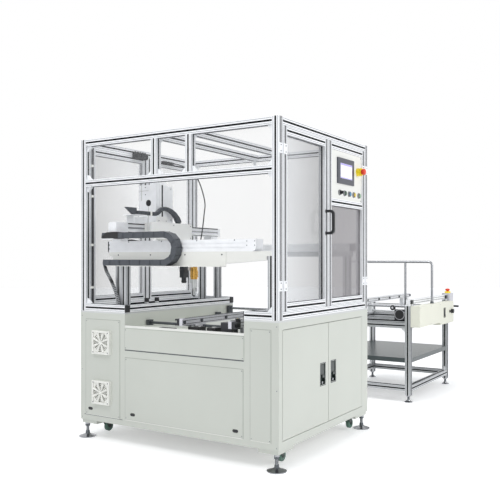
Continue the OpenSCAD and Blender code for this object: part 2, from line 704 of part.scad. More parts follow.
// The lifting axis: its module in front, the drive's cover beside it and the housing over the beam
module z_axis_module() on_foot() color("lightgray") {
    x = z_module_x;
    front = head_y - module_d;
    cap_z = z_top - 12;
    difference() {
        union() {
            block([x, front, deck + 445], [x + z_module_w, head_y, z_top]);
            block([x + z_module_w - eps, front + 6, cover_z + seat], [x + z_module_w + 70, head_y, cap_z]);
            block([x, head_y - eps, plate_z], [x + z_module_w, beam_y + beam_d + 3, cap_z]);
        }
        rod_x(x - 1, x + 20, beam_y - 6, deck + 643, grommet_r);
        block([x + 56, front - 1, deck + 450], [x + 68, front + 5, z_top - 10]);
        for (dx = [8, 30]) block([x + dx, front - 1, deck + 450], [x + dx + 6, front + 3, z_top + 1]);
    }
}
module z_slide() on_foot() color("white") {
    face = head_y - module_d - seat;
    block([z_module_x + 4, face - 12, deck + 395], [z_module_x + z_module_w - 4, face, deck + 560]);
    block([z_module_x + 4, face - 12, deck + 395], [valve_x + 30, face, deck + 417]);
    block([valve_x - 30, valve_y + 22, deck + 395], [valve_x + 30, face, deck + 417]);
    block([valve_x - 30, valve_y + 22, valve_z + 20], [valve_x + 30, valve_y + 30, deck + 417]);
    block([valve_x - 120, valve_y + 22, valve_z + 20], [valve_x + 30, valve_y + 30, valve_z + 60]);
}
// Brass body over a grey metering block and a thin nozzle, with the camera block beside it
module dispensing_valve() on_foot() color("goldenrod") {
    rod_z(valve_z - 36, valve_z + 40, valve_x, valve_y, 22);
    rod_z(valve_z - 24, valve_z + 20 - seat, valve_x, valve_y, 25);
    block([valve_x - 12, valve_y, valve_z - 60], [valve_x + 12, valve_y + 22, valve_z + 40]);
    rod_z(valve_z - 92, valve_z - 36 + eps, valve_x, valve_y, 14);
    translate([valve_x, valve_y, valve_z - 128]) cylinder(r1 = 2, r2 = 10, h = 36 + eps);
    rod_z(valve_z - 141, valve_z - 127, valve_x, valve_y, 2);
    block([valve_x - 118, valve_y - 8, valve_z - 24], [valve_x - 72, valve_y + 22, valve_z + 44]);
    rod_z(valve_z - 44, valve_z - 24 + eps, valve_x - 95, valve_y + 7, 15);
}

// A path of straight and curved stretches, each given as its length and its turn in degrees
function bend_step(place, length, turn) = turn == 0
    ? [place[0] + length * cos(place[2]), place[1] + length * sin(place[2]), place[2]]
    : let (radius = length / turn * 180 / PI)
      [place[0] + radius * (sin(place[2] + turn) - sin(place[2])),
       place[1] - radius * (cos(place[2] + turn) - cos(place[2])), place[2] + turn];
function along(place, path, s, i = 0) = i >= len(path) ? place
    : s <= path[i][0] ? bend_step(place, s, path[i][1] * s / path[i][0])
    : along(bend_step(place, path[i][0], path[i][1]), path, s - path[i][0], i + 1);
function path_length(path) = [for (leg = path) leg[0]] * [for (leg = path) 1];

// One chain link along X: a nose that turns in the next link's tail, and a way through for the cables.
// Its ends slope back at the top and the bottom, so that neighbours clear each other in a bend.
module chain_link(pitch, height, width, top_slope, low_slope) {
    nose = height / 2 - 6;
    end = pitch / 2 - seat / 2;
    difference() {
        rotate([90, 0, 0]) translate([0, 0, -width / 2]) linear_extrude(width) difference() {
            union() {
                polygon([[-end, 0], [-end + top_slope, height / 2], [end - top_slope, height / 2],
                         [end, 0], [end - low_slope, -height / 2], [-end + low_slope, -height / 2]]);
                translate([pitch / 2, 0]) circle(r = nose);
            }
            translate([-pitch / 2, 0]) circle(r = nose + 2 * seat);
        }
        cube([3 * pitch, width - 8, height - 10], center = true);
    }
}
// Links hung between pins that stand at even steps along a path
module chain(start, path, count, height, width, slopes) {
    pitch = path_length(path) / count;
    for (i = [0:count - 1]) {
        pin = along(start, path, i * pitch);
        next = along(start, path, (i + 1) * pitch);
        run = next - pin;
        translate([pin[0] + run[0] / 2, 0, pin[1] + run[1] / 2]) rotate([0, -atan2(run[1], run[0]), 0])
            chain_link(pitch, height, width, slopes[0], slopes[1]);
    }
}
y_chain_path = [[437, 0], [chain_r * PI, -180], [448, 0]];
module y_drag_chain() on_foot() color("dimgray") {
    translate([chain_x + link_w / 2, 0, 0]) rotate([0, 0, 90])
        chain([chain_y, chain_lower, 180], y_chain_path, 30, link_h, link_w, [0.5, 5]);
    cable_bundle();
}
// The wrapped cables that leave the chain's fixed end and drop to the deck
module cable_bundle() {
    drop = [[37, 3, 0], [37, 23, -14], [37, 11, -50], [38, -19, -95], [39, -34, -120], [45, -56, -176],
        [49.7, -76, -233], [50, -80, deck + 1 - chain_lower]];
    tube(smooth([for (p = drop) [p[0], chain_y + p[1], chain_lower + p[2]]], 4), 9.5, 8);
}

x_chain_path = [[150, 0], [50, 40], [59, -40], [166.56, -60]];
module x_drag_chain() on_foot() color("dimgray")
    translate([0, x_chain_y, 0])
        chain([105, deck + 560 + seat + x_chain_h / 2, 0], x_chain_path, 24, x_chain_h, x_chain_w, [2, 2]);

// Points of a smooth curve through the given ones
function mix(p, i, t) = let (a = p[max(i - 1, 0)], b = p[i], c = p[i + 1], d = p[min(i + 2, len(p) - 1)])
    0.5 * (2 * b + (c - a) * t + (2 * a - 5 * b + 4 * c - d) * t * t + (3 * b - a - 3 * c + d) * t * t * t);
function smooth(p, n) = [for (i = [0:len(p) - 2], k = [0:n - 1]) mix(p, i, k / n), p[len(p) - 1]];
function unit(v) = v / norm(v);
function heading(p, i) = unit(p[min(i + 1, len(p) - 1)] - p[max(i - 1, 0)]);
// A round tube swept along points that never run along X
module tube(p, r, sides) {
    rings = [for (i = [0:len(p) - 1]) let (t = heading(p, i), u = unit(cross(t, [1, 0, 0])), v = cross(t, u))
        for (k = [0:sides - 1]) p[i] + r * (u * cos(360 * k / sides) + v * sin(360 * k / sides))];
    last = len(p) - 1;
    polyhedron(rings, concat(
        [[for (k = [0:sides - 1]) k]],
        [[for (k = [sides - 1:-1:0]) last * sides + k]],
        [for (i = [0:last - 1], k = [0:sides - 1]) let (n = (k + 1) % sides)
            [i * sides + k, (i + 1) * sides + k, (i + 1) * sides + n, i * sides + n]]));
}
hose_r = 4;
hose_points = [[789, machine_l - bar - 1, roof - 10], [791, 1292, roof - 10], [836, 1230, roof - 33],
    [851, 1130, roof - 113], [813, 1040, roof - 269], [753, 1000, roof - 373], [659, 955, valve_z + 226],
    [600, 945, valve_z + 123], [valve_x, valve_y, valve_z + 42]];
module feed_hose() on_foot() color("black") tube(smooth(hose_points, 4), hose_r, 8);

// Board conveyor in the tunnel
module belt_groove(x0, x1, y, z) block([x0, y - 4, z - 3], [x1, y + 4, z + 1]);
module conveyor_rail_fixed() on_foot() color("silver") {
    difference() {
        union() {
            block([8, rail_y0, rail_top - rail_h], [machine_w - 8, rail_y0 + rail_t, rail_top]);
            for (x = concat([140, machine_w - 140], rod_xs))
                block([x - 20, rail_y0, tunnel_z], [x + 20, rail_y0 + rail_t, rail_top - rail_h + eps]);
        }
        belt_groove(12, machine_w - 12, rail_y0 + rail_t - 6, rail_top);
        rod_y(rail_y0 - 1, rail_y0 + rail_t + 1, shaft_x, shaft_z, rod_r + run_gap);
    }
    for (x = rod_xs) {
        rod_y(rail_y0 + 2, tunnel_y1 - 2, x, rod_z, rod_r);
        block([x - 20, tunnel_y1 - 24, tunnel_z], [x + 20, tunnel_y1 - 4, rod_z + 16]);
    }
    difference() {
        block([shaft_x - 20, tunnel_y1 - 24, tunnel_z], [shaft_x + 20, tunnel_y1 - 4, rail_top]);
        rod_y(tunnel_y1 - 25, tunnel_y1, shaft_x, shaft_z, rod_r + run_gap);
    }
}
module conveyor_rail_sliding() on_foot() color("silver") difference() {
    union() {
        block([8, rail_y1, rail_top - rail_h], [machine_w - 8, rail_y1 + rail_t, rail_top]);
        for (x = rod_xs) {
            block([x - 22, rail_y1, rod_z - 13], [x + 22, rail_y1 + 2 * rail_t, rail_top - rail_h + eps]);
            block([x - 22, rail_y1 + rail_t - eps, rail_top - rail_h],
                  [x + 22, rail_y1 + 2 * rail_t, rail_top - rail_h + 12]);
        }
    }
    belt_groove(12, machine_w - 12, rail_y1 + 6, rail_top);
    for (x = rod_xs) rod_y(rail_y1 - 1, rail_y1 + 2 * rail_t + 1, x, rod_z, rod_r + run_gap);
    rod_y(rail_y1 - 1, rail_y1 + rail_t + 1, shaft_x, shaft_z, rod_r + run_gap);
}
module conveyor_drive_shaft() on_foot() color("silver") {
    rod_y(rail_y0 - 8, tunnel_y1 - 1, shaft_x, shaft_z, rod_r);
    rod_y(rail_y0 - 8, rail_y0 - seat, shaft_x, shaft_z, rod_r + 5);
}
module drive_motors() {
    on_foot() color("black") {
        block([shaft_x - 150, rail_y0 - 62, tunnel_z + seat], [shaft_x - 60, rail_y0 - seat, tunnel_z + 60]);
        block([40, rail_y0 + rail_t + seat, tunnel_z + seat], [100, rail_y0 + rail_t + 68, rail_top - 11]);
    }
    at_table() color("black") {
        block([-bar / 2, bar / 2, motor_z - 45], [30, bar / 2 + 80, motor_z + 31]);
        rod_x(30 - eps, 52, bar / 2 + 40, motor_z, 24);
    }
}

// Outfeed table
module table_frame() at_table() color("silver") {
    h = bar / 2;
    for (x = [0, table_l], y = [0, table_w]) bar_z(table_leg_z, table_h, x - h, y - h);
    for (z = [80, ring_z], y = [0, table_w]) bar_x(h, table_l - h, y - h, z);
    for (z = [80, ring_z], x = [0, table_l]) bar_y(h, table_w - h, x - h, z);
    for (y = [0, table_w]) bar_x(h, table_l - h, y - h, table_h - beam_drop);
    bar_y(h, table_w - h, 371, ring_z);
    for (x = table_rod_xs) rod_y(h - 2, table_w - h + 2, x, table_rod_z, rod_r);
    portal();
    for (y = [-12, table_w]) difference() {
        block([table_l + h - eps, y, crank_z - 26], [crank_x + 22, y + 12, crank_z + 26]);
        rod_y(y - 1, y + 13, crank_x, crank_z, rod_r + run_gap);
    }
}
portal_x = 391;
portal_near = -50;
module portal() {
    rod_z(ring_z + bar - 1, portal_h - tube_r, portal_x, portal_near + 214, tube_r);
    rod_z(table_h - 1, portal_h - tube_r, portal_x, table_w, tube_r);
    corner = 3 * tube_r;
    rod_z(table_h + seat, portal_h - tube_r - corner, portal_x, portal_near, tube_r);
    translate([portal_x, portal_near + corner, portal_h - tube_r - corner]) rotate([90, 0, -90])
        rotate_extrude(angle = 90) translate([corner, 0]) circle(r = tube_r);
    rod_y(portal_near + corner, table_w, portal_x, portal_h - tube_r, tube_r);
}
module table_shelf() at_table() color("slategray") {
    h = bar / 2 + seat;
    difference() {
        block([-bar / 2, -bar / 2, shelf_z], [table_l + bar / 2, table_w + bar / 2, shelf_z + shelf_h]);
        block([-bar / 2 + 2, -bar / 2 + 2, shelf_z - 1],
              [table_l + bar / 2 - 2, table_w + bar / 2 - 2, shelf_z + shelf_h - 3]);
        for (x = [0, table_l], y = [0, table_w])
            block([x - h, y - h, shelf_z - 10], [x + h, y + h, shelf_z + shelf_h + 7]);
    }
}
module table_rail_fixed() at_table() color("silver") {
    difference() {
        block([-10, -15, table_rail_z], [table_l - 11, 15, table_rail_z + table_rail_h]);
        belt_groove(-6, table_l - 15, 8, table_rail_z + table_rail_h);
    }
    for (x = [0, table_l - bar / 2]) block([x - 10, -15, table_h], [x + 10, 15, table_rail_z + eps]);
    difference() {
        block([bar / 2 + 2, -15, table_shaft_z - 14], [table_shaft_x + 14, 15, table_rail_z + eps]);
        rod_y(-16, 16, table_shaft_x, table_shaft_z, rod_r + run_gap);
    }
}
module table_rail_sliding() at_table() color("silver") {
    y = table_rail_y;
    difference() {
        union() {
            block([18, y, table_rail_z], [table_l + 110, y + 30, table_rail_z + table_rail_h]);
            for (x = table_rod_xs) block([x - 20, y, table_rod_z - 16], [x + 20, y + 30, table_rail_z + eps]);
            block([crank_x - 18, y, crank_z - 18], [crank_x + 18, y + 30, table_rail_z + eps]);
            block([table_shaft_x - 14, y, table_shaft_z - 14],
                  [table_shaft_x + 14, y + 30, table_rail_z + eps]);
        }
        belt_groove(22, table_l + 106, y + 8, table_rail_z + table_rail_h);
        for (x = table_rod_xs) rod_y(y - 1, y + 31, x, table_rod_z, rod_r + run_gap);
        rod_y(y - 1, y + 31, crank_x, crank_z, rod_r + run_gap);
        rod_y(y - 1, y + 31, table_shaft_x, table_shaft_z, rod_r + run_gap);
    }
}
module table_drive_shaft() at_table() color("silver") {
    rod_y(-16, table_rail_y + 230, table_shaft_x, table_shaft_z, rod_r);
    rod_y(15 + seat, 15 + 20, table_shaft_x, table_shaft_z, rod_r + 5);
}
module table_crank() at_table() color("black") {
    rod_y(-50, table_w + 20, crank_x, crank_z, rod_r);
    rod_y(-34, -12 - seat, crank_x, crank_z, rod_r + 7);
    block([crank_x - 9, -46, crank_z - 9], [crank_x + 58, -34, crank_z + 9]);
    rod_y(-86, -46 + eps, crank_x + 48, crank_z, 8);
}
module table_control_box() at_table() color("ivory") {
    front = -90;
    back = -bar / 2;
    block([-13, front, table_h - 154], [box_split - seat / 2, back, table_h]);
    difference() {
        block([box_split + seat / 2, front + 8, table_h - 175], [table_l - 38, back, table_h - 2]);
        block([switch_x - 16, front, switch_z - 34], [switch_x + 16, -62, switch_z + 34]);
        rod_y(front, -50, knob_x, knob_z, control_r + run_gap);
    }
    difference() {
        block([table_l + bar / 2, -30, stop_z - 76], [table_l + 130, 35, stop_z]);
        stop_hole();
    }
    difference() {
        rod_z(stop_z - eps, stop_z + 14, stop_x, stop_y, 24);
        stop_hole();
    }
}
module stop_hole() rod_z(stop_z - 41, stop_z + 15, stop_x, stop_y, control_r + run_gap);
module table_switch() at_table() color("black") {
    rod_x(switch_x - 15.7, switch_x + 15.7, -70, switch_z, 5);
    translate([switch_x - 15, 0, switch_z]) rotate([90, 0, 90]) linear_extrude(30)
        polygon([[-70, -5], [-84, -28], [-88, -28], [-85, 0], [-85, 28], [-81, 28], [-70, 5]]);
}
module table_knob() at_table() color("black") {
    rod_y(-102, -82 - seat, knob_x, knob_z, 17);
    rod_y(-83, -54, knob_x, knob_z, control_r);
}
module table_estop_button() at_table() color("red") {
    rod_z(stop_z - 33, stop_z + 21, stop_x, stop_y, control_r);
    translate([stop_x, stop_y, stop_z + 20]) rotate_extrude()
        polygon([[0, 0], [15, 0], [19, 4], [19, 11], [14, 16], [0, 18]]);
}

cabinet_shell();
service_panels();
black_caps();
work_plate();
fan_grilles();
fan_rotor();
levelling_feet();
caster_fork(corner_signs[0]);  // caster_fork_1
caster_fork(corner_signs[1]);  // caster_fork_2
caster_fork(corner_signs[2]);  // caster_fork_3
caster_fork(corner_signs[3]);  // caster_fork_4
caster_wheel(corner_signs[0]);  // caster_wheel_1
caster_wheel(corner_signs[1]);  // caster_wheel_2
caster_wheel(corner_signs[2]);  // caster_wheel_3
caster_wheel(corner_signs[3]);  // caster_wheel_4
drive_cabinet();
enclosure_frame();
enclosure_windows();
front_door_left();
front_window_left();
front_door_right();
front_window_right();
control_panel();
door_handle();
touch_screen();
operator_bezels();
estop_button();
key_selector();
button_green();
button_blue();
button_yellow();
button_start();
cabinet_door_left();
cabinet_door_right();
latch_lever_left();
latch_lever_right();
gantry_frame();
y_axis_modules();
gantry_beam();
x_carriage();
z_axis_module();
z_slide();
dispensing_valve();
y_drag_chain();
x_drag_chain();
feed_hose();
conveyor_rail_fixed();
conveyor_rail_sliding();
conveyor_drive_shaft();
drive_motors();
table_frame();
table_shelf();
table_rail_fixed();
table_rail_sliding();
table_drive_shaft();
table_crank();
table_control_box();
table_switch();
table_knob();
table_estop_button();
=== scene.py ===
import math

import bmesh
import bpy
from mathutils import Matrix, Vector


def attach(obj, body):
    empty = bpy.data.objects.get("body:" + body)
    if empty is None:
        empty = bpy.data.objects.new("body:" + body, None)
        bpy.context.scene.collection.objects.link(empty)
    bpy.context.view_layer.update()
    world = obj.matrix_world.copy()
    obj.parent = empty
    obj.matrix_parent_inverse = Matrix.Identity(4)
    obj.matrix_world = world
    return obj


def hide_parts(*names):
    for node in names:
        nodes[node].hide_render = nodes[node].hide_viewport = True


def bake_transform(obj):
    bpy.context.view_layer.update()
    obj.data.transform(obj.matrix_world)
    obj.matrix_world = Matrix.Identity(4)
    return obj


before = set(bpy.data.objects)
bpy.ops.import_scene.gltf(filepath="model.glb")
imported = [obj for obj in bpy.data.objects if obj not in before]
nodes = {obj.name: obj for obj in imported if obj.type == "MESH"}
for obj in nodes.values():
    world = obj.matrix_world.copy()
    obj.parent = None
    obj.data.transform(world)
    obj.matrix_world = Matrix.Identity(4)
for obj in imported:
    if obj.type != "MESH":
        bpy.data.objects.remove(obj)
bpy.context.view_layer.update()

FOOT = 28.0  # the near foot stands on the origin
W, L, H = 1100.0, 1350.0, 1750.0
BAR = 40.0
DECK, ROOF, MID = 745.0, 1710.0, 1472.0
TUNNEL_0, TUNNEL_1, TUNNEL_Z = 202.0, 1004.0, 660.0
TABLE_X, TABLE_Y = 1988.0, 51.0
TABLE_L, TABLE_W, TABLE_H = 900.0, 651.0, 704.0
LEFT, FRONT, UP, DOWN = (-1, 0, 0), (0, -1, 0), (0, 0, 1), (0, 0, -1)
LATCH_X = {"cabinet_door_left": 481, "cabinet_door_right": 613}
VALVE_X, VALVE_Y = 565, 940
LENS_X, LENS_Y = 470, 947


def table_at(x, y, z):
    return (x + TABLE_X, y + TABLE_Y, z)


# Camera and light
camera_data = bpy.data.cameras.new("camera")
camera_data.lens = 50.184
camera_data.sensor_width = 36
camera_data.shift_y = 0.019
camera_data.clip_end = 60
camera = bpy.data.objects.new("camera", camera_data)
camera.location = (-2.976, -1.728, 1.045)
camera.rotation_euler = (math.radians(90), 0, math.radians(-57.66))
bpy.context.scene.collection.objects.link(camera)
bpy.context.scene.camera = camera
bpy.context.scene.view_settings.view_transform = "Standard"


def linear(rgb):
    return tuple(c / 12.92 if c <= 0.04045 else ((c + 0.055) / 1.055) ** 2.4 for c in (v / 255 for v in rgb))


def area_light(name, spot, aim, size, watts):
    data = bpy.data.lights.new(name, "AREA")
    data.shape, data.size, data.size_y, data.energy = "RECTANGLE", size[0], size[1], watts
    light = bpy.data.objects.new(name, data)
    light.location = spot
    light.rotation_euler = (Vector(aim) - Vector(spot)).to_track_quat("-Z", "Y").to_euler()
    bpy.context.scene.collection.objects.link(light)


area_light("key", (-2.0, 0.9, 4.1), (0.3, 0.7, 0.7), (1.5, 1.5), 52)
area_light("fill", (1.2, -3.8, 2.2), (0.9, 0.4, 0.8), (3.0, 2.4), 74)
area_light("side", (-3.6, 0.4, 1.7), (0.5, 0.6, 1.1), (2.4, 2.0), 14)
area_light("top", (0.9, 0.8, 4.2), (0.9, 0.7, 0.8), (2.4, 2.4), 56)


def node_of(tree, kind, **values):
    made = tree.nodes.new(kind)
    for key, value in values.items():
        if key in made.inputs:
            made.inputs[key].default_value = value
        else:
            setattr(made, key, value)
    return made


def path_ray(tree):
    """1 for camera, glossy and transmission rays."""
    rays = tree.nodes.new("ShaderNodeLightPath")
    total = rays.outputs["Is Camera Ray"]
    for kind in ("Is Glossy Ray", "Is Transmission Ray"):
        more = node_of(tree, "ShaderNodeMath", operation="MAXIMUM")
        tree.links.new(total, more.inputs[0])
        tree.links.new(rays.outputs[kind], more.inputs[1])
        total = more.outputs[0]
    return total


world = bpy.data.worlds.new("studio")
world.use_nodes = True
bpy.context.scene.world = world
tree = world.node_tree
link = tree.links.new
tree.nodes.clear()
seen = node_of(tree, "ShaderNodeBackground", Color=(1, 1, 1, 1), Strength=1.0)
soft = node_of(tree, "ShaderNodeBackground", Color=(0.93, 0.96, 1.0, 1), Strength=0.62)
blend = tree.nodes.new("ShaderNodeMixShader")
out = tree.nodes.new("ShaderNodeOutputWorld")
link(path_ray(tree), blend.inputs[0])
link(soft.outputs[0], blend.inputs[1])
link(seen.outputs[0], blend.inputs[2])
link(blend.outputs[0], out.inputs["Surface"])


# Materials
def noise(tree, scale, stretch, detail=3.0):
    """Noise over the object's own coordinates, in metres, stretched along an axis where asked."""
    place = tree.nodes.get("place") or tree.nodes.new("ShaderNodeTexCoord")
    place.name = "place"
    pull = node_of(tree, "ShaderNodeMapping", Scale=stretch)
    grain = node_of(tree, "ShaderNodeTexNoise", Scale=scale, Detail=detail)
    tree.links.new(place.outputs["Object"], pull.inputs["Vector"])
    tree.links.new(pull.outputs[0], grain.inputs["Vector"])
    return grain.outputs[0]


def spread(tree, value, low, high, start=0.3, stop=0.7):
    change = node_of(tree, "ShaderNodeMapRange")
    for socket, number in (("From Min", start), ("From Max", stop), ("To Min", low), ("To Max", high)):
        change.inputs[socket].default_value = number
    tree.links.new(value, change.inputs["Value"])
    return change.outputs[0]


def material(name, rgb, rough, metal, vary, vary_scale, grain, bump, depth=0.0002, stretch=(1, 1, 1),
             alpha=1.0, coat=0.0, specular=0.5, glow=0.0, rough_vary=0.06, painted_shade=None):
    """A surface whose colour, roughness and relief vary; where asked, a painted shade darkens it from one X
    to another.
    """
    made = bpy.data.materials.new(name)
    made.use_nodes = True
    tree = made.node_tree
    link = tree.links.new
    shader = tree.nodes["Principled BSDF"]
    base = linear(rgb)
    ramp = tree.nodes.new("ShaderNodeValToRGB")
    ramp.color_ramp.elements[0].position = 0.25
    ramp.color_ramp.elements[1].position = 0.75
    ramp.color_ramp.elements[0].color = (*(c * (1 - vary) for c in base), 1)
    ramp.color_ramp.elements[1].color = (*(min(1, c * (1 + vary)) for c in base), 1)
    link(noise(tree, vary_scale, stretch), ramp.inputs[0])
    colour = ramp.outputs[0]
    # Painted shade: the colour darkens towards a dark colour from one X to another
    if painted_shade:
        start, stop, dark = painted_shade
        parts = tree.nodes.new("ShaderNodeSeparateXYZ")
        link(tree.nodes["place"].outputs["Object"], parts.inputs[0])
        mix = node_of(tree, "ShaderNodeMix", data_type="RGBA")
        link(spread(tree, parts.outputs["X"], 0.0, 1.0, start, stop), mix.inputs[0])
        mix.inputs[6].default_value = (*linear(dark), 1)
        link(colour, mix.inputs[7])
        colour = mix.outputs[2]
    link(colour, shader.inputs["Base Color"])
    fine = noise(tree, grain, stretch)
    rough_share = spread(tree, fine, max(0.02, rough - rough_vary), rough + rough_vary)
    link(rough_share, shader.inputs["Roughness"])
    dent = node_of(tree, "ShaderNodeBump", Strength=bump, Distance=depth)
    link(fine, dent.inputs["Height"])
    link(dent.outputs[0], shader.inputs["Normal"])
    for socket, number in (("Metallic", metal), ("Alpha", alpha), ("Coat Weight", coat),
                           ("Specular IOR Level", specular)):
        shader.inputs[socket].default_value = number
    if glow:
        link(colour, shader.inputs["Emission Color"])
        shader.inputs["Emission Strength"].default_value = glow
    return made


# Name, colour, roughness, metal, the colour's variation and its scale, the grain's scale and its relief
M = {
    "cabinet": material("cabinet_paint", (202, 205, 197), 0.42, 0, 0.025, 2.2, 900, 0.12),
    "white": material("white_paint", (233, 233, 228), 0.4, 0, 0.02, 3, 900, 0.1),
    # A lighter copy of the white paint: painted light on the carriage covers inside the enclosure
    "cover": material("white_paint_painted_light", (249, 249, 247), 0.4, 0, 0.02, 3, 900, 0.1),
    "ivory": material("ivory_paint", (231, 231, 216), 0.42, 0, 0.02, 4, 900, 0.12),
    "shelf": material("shelf_coat", (74, 82, 83), 0.3, 0, 0.12, 3, 1200, 0.05),
    "profile": material("profile_anodised", (246, 247, 249), 0.36, 0.15, 0.03, 40, 1500, 0.04),
    "leg": material("leg_anodised", (204, 206, 208), 0.36, 0.6, 0.05, 30, 1500, 0.04),
    "module": material("module_anodised", (245, 246, 248), 0.36, 0.05, 0.04, 25, 1400, 0.04),
    "steel": material("plated_steel", (158, 160, 164), 0.2, 1.0, 0.06, 30, 800, 0.03),
    "dull_steel": material("ground_steel", (206, 208, 208), 0.34, 0.75, 0.05, 9, 1800, 0.05,
                           stretch=(0.12, 1, 1)),
    # Left door pane: painted shade, darker from its left edge towards its right edge
    "window": material("grey_acrylic", (205, 207, 210), 0.1, 0, 0.02, 0.8, 300, 0.0,
                       alpha=0.34, rough_vary=0.02, painted_shade=(0.5, 0.06, (84, 85, 88))),
    # Right door pane: a darker, denser copy of the door acrylic, as painted shade
    "dark_window": material("door_acrylic_painted_shade", (142, 139, 142), 0.1, 0, 0.02, 0.8, 300, 0.0,
                            alpha=0.62, rough_vary=0.02),
    "clear_window": material("clear_acrylic", (206, 208, 210), 0.1, 0, 0.03, 0.8, 300, 0.0,
                             alpha=0.08, rough_vary=0.02),
    # Rear pane: painted shade, darker towards its infeed end
    "rear_window": material("rear_acrylic", (246, 247, 248), 0.14, 0, 0.02, 0.8, 300, 0.0,
                            alpha=0.27, rough_vary=0.02, painted_shade=(-0.05, 0.42, (92, 93, 95))),
    "black": material("black_plastic", (24, 25, 28), 0.42, 0, 0.25, 30, 1200, 0.15),
    "slot": material("slot_strip", (9, 10, 12), 0.8, 0, 0.2, 50, 900, 0.1, specular=0.2),
    "chain": material("chain_nylon", (72, 76, 82), 0.46, 0, 0.15, 40, 1100, 0.15),
    "white_plastic": material("white_plastic", (236, 236, 230), 0.4, 0, 0.02, 20, 1100, 0.08),
    "screen_frame": material("screen_frame", (70, 73, 82), 0.34, 0, 0.06, 20, 1300, 0.12),
    "yellow": material("yellow_plastic", (250, 222, 30), 0.35, 0, 0.04, 30, 1200, 0.08),
    "red": material("red_plastic", (222, 60, 32), 0.3, 0, 0.06, 30, 1200, 0.06),
    "dark_green": material("dark_green_paint", (34, 46, 42), 0.34, 0, 0.15, 25, 900, 0.1, coat=0.2),
    "tread": material("tread_polyurethane", (84, 116, 104), 0.38, 0, 0.15, 40, 700, 0.12),
    "rubber": material("hose_rubber", (38, 39, 43), 0.45, 0, 0.15, 60, 900, 0.1),
    "brass": material("turned_brass", (204, 160, 84), 0.28, 0.85, 0.1, 50, 900, 0.05, stretch=(1, 1, 6)),
    "motor": material("motor_black", (40, 42, 46), 0.4, 0.2, 0.2, 20, 1000, 0.15),
    "drive": material("drive_grey", (84, 87, 92), 0.5, 0, 0.08, 15, 900, 0.1),
    "cable": material("cable_wrap", (168, 170, 173), 0.5, 0, 0.4, 130, 700, 0.3, depth=0.0006),
    "filter": material("filter_mat", (176, 178, 170), 0.85, 0, 0.2, 260, 1400, 0.6, depth=0.001),
    "seam": material("seam_shadow", (172, 176, 168), 0.7, 0, 0.1, 20, 900, 0.1),
    "groove": material("groove_painted_shade", (122, 125, 131), 0.6, 0, 0.1, 50, 900, 0.1),
    "rail": material("rail_anodised", (208, 208, 214), 0.32, 0.35, 0.04, 30, 1500, 0.04),
    "dark_steel": material("dark_steel", (92, 96, 100), 0.34, 0.8, 0.12, 25, 900, 0.06),
    "screen": material("screen_lit", (226, 224, 248), 0.12, 0, 0.03, 10, 400, 0.0, glow=0.22),
    "screen_bar": material("screen_bar", (170, 160, 232), 0.12, 0, 0.03, 10, 400, 0.0, glow=0.2),
    "screen_tile": material("screen_tile", (240, 243, 252), 0.12, 0, 0.02, 10, 400, 0.0, glow=0.25),
}
for look, name, rgb in (("green", "green_plastic", (32, 78, 48)), ("blue", "blue_plastic", (70, 130, 170)),
                        ("amber", "amber_plastic", (236, 205, 70)), ("lamp", "lamp_green", (132, 172, 138))):
    M[look] = material(name, rgb, 0.3, 0, 0.08, 60, 1200, 0.05, coat=0.3)

# The nodes of the frame, by their look
CAD_LOOKS = {
    "cabinet": ("cabinet_shell", "service_panels", "cabinet_door_left", "cabinet_door_right"),
    "black": ("black_caps", "fan_rotor", "door_handle", "key_selector", "table_switch", "table_knob"),
    "dull_steel": ("work_plate",),
    "white_plastic": ("fan_grilles",),
    "steel": ("levelling_feet", "conveyor_drive_shaft", "table_drive_shaft"),
    "drive": ("drive_cabinet",),
    "profile": ("enclosure_frame", "front_door_left", "front_door_right", "table_rail_fixed",
                "table_rail_sliding"),
    "clear_window": ("enclosure_windows",),
    "window": ("front_window_left",),
    "dark_window": ("front_window_right",),
    "white": ("control_panel",),
    "screen_frame": ("touch_screen",),
    "yellow": ("operator_bezels",),
    "red": ("estop_button", "table_estop_button"),
    "green": ("button_green",),
    "blue": ("button_blue",),
    "amber": ("button_yellow",),
    "lamp": ("button_start",),
    "dark_green": ("latch_lever_left", "latch_lever_right", *(f"caster_fork_{i}" for i in range(1, 5))),
    "leg": ("gantry_frame", "table_frame"),
    "module": ("y_axis_modules", "gantry_beam", "z_axis_module"),
    # The carriage covers take the lighter copy of the white paint, as painted light
    "cover": ("x_carriage", "z_slide"),
    "brass": ("dispensing_valve",),
    "chain": ("y_drag_chain", "x_drag_chain"),
    "rubber": ("feed_hose",),
    "rail": ("conveyor_rail_fixed", "conveyor_rail_sliding"),
    "motor": ("drive_motors", "table_crank"),
    "shelf": ("table_shelf",),
    "ivory": ("table_control_box",),
    "tread": (*(f"caster_wheel_{i}" for i in range(1, 5)),),
}


def round_edges(obj, width, weld=False):
    if weld:
        obj.modifiers.new("weld", "WELD").merge_threshold = 0.00001
    bevel = obj.modifiers.new("bevel", "BEVEL")
    bevel.width, bevel.segments, bevel.limit_method = width, 2, "ANGLE"
    bevel.angle_limit = math.radians(40)
    normals = obj.modifiers.new("normals", "WEIGHTED_NORMAL")
    normals.weight = 50


for look, names in CAD_LOOKS.items():
    for name in names:
        mesh = nodes[name].data
        mesh.materials.clear()
        mesh.materials.append(M[look])
        for polygon in mesh.polygons:
            polygon.material_index = 0


def repaint(name, look, test):
    """Gives the faces of a CAD node whose centre passes the test another material."""
    mesh = nodes[name].data
    mesh.materials.append(M[look])
    for polygon in mesh.polygons:
        c = polygon.center
        if test(c.x * 1000 + FOOT, c.y * 1000 + FOOT, c.z * 1000):
            polygon.material_index = len(mesh.materials) - 1


def in_dish(across, y, z):
    """Whether a face of a cabinet door, at a distance across from its latch, is part of the latch's dish."""
    return across < 34 and 355 < z < 484 and y < 18 and (y > 0.5 or across < 31)


for name in ("enclosure_windows", "front_window_left", "front_window_right"):
    nodes[name].visible_shadow = False

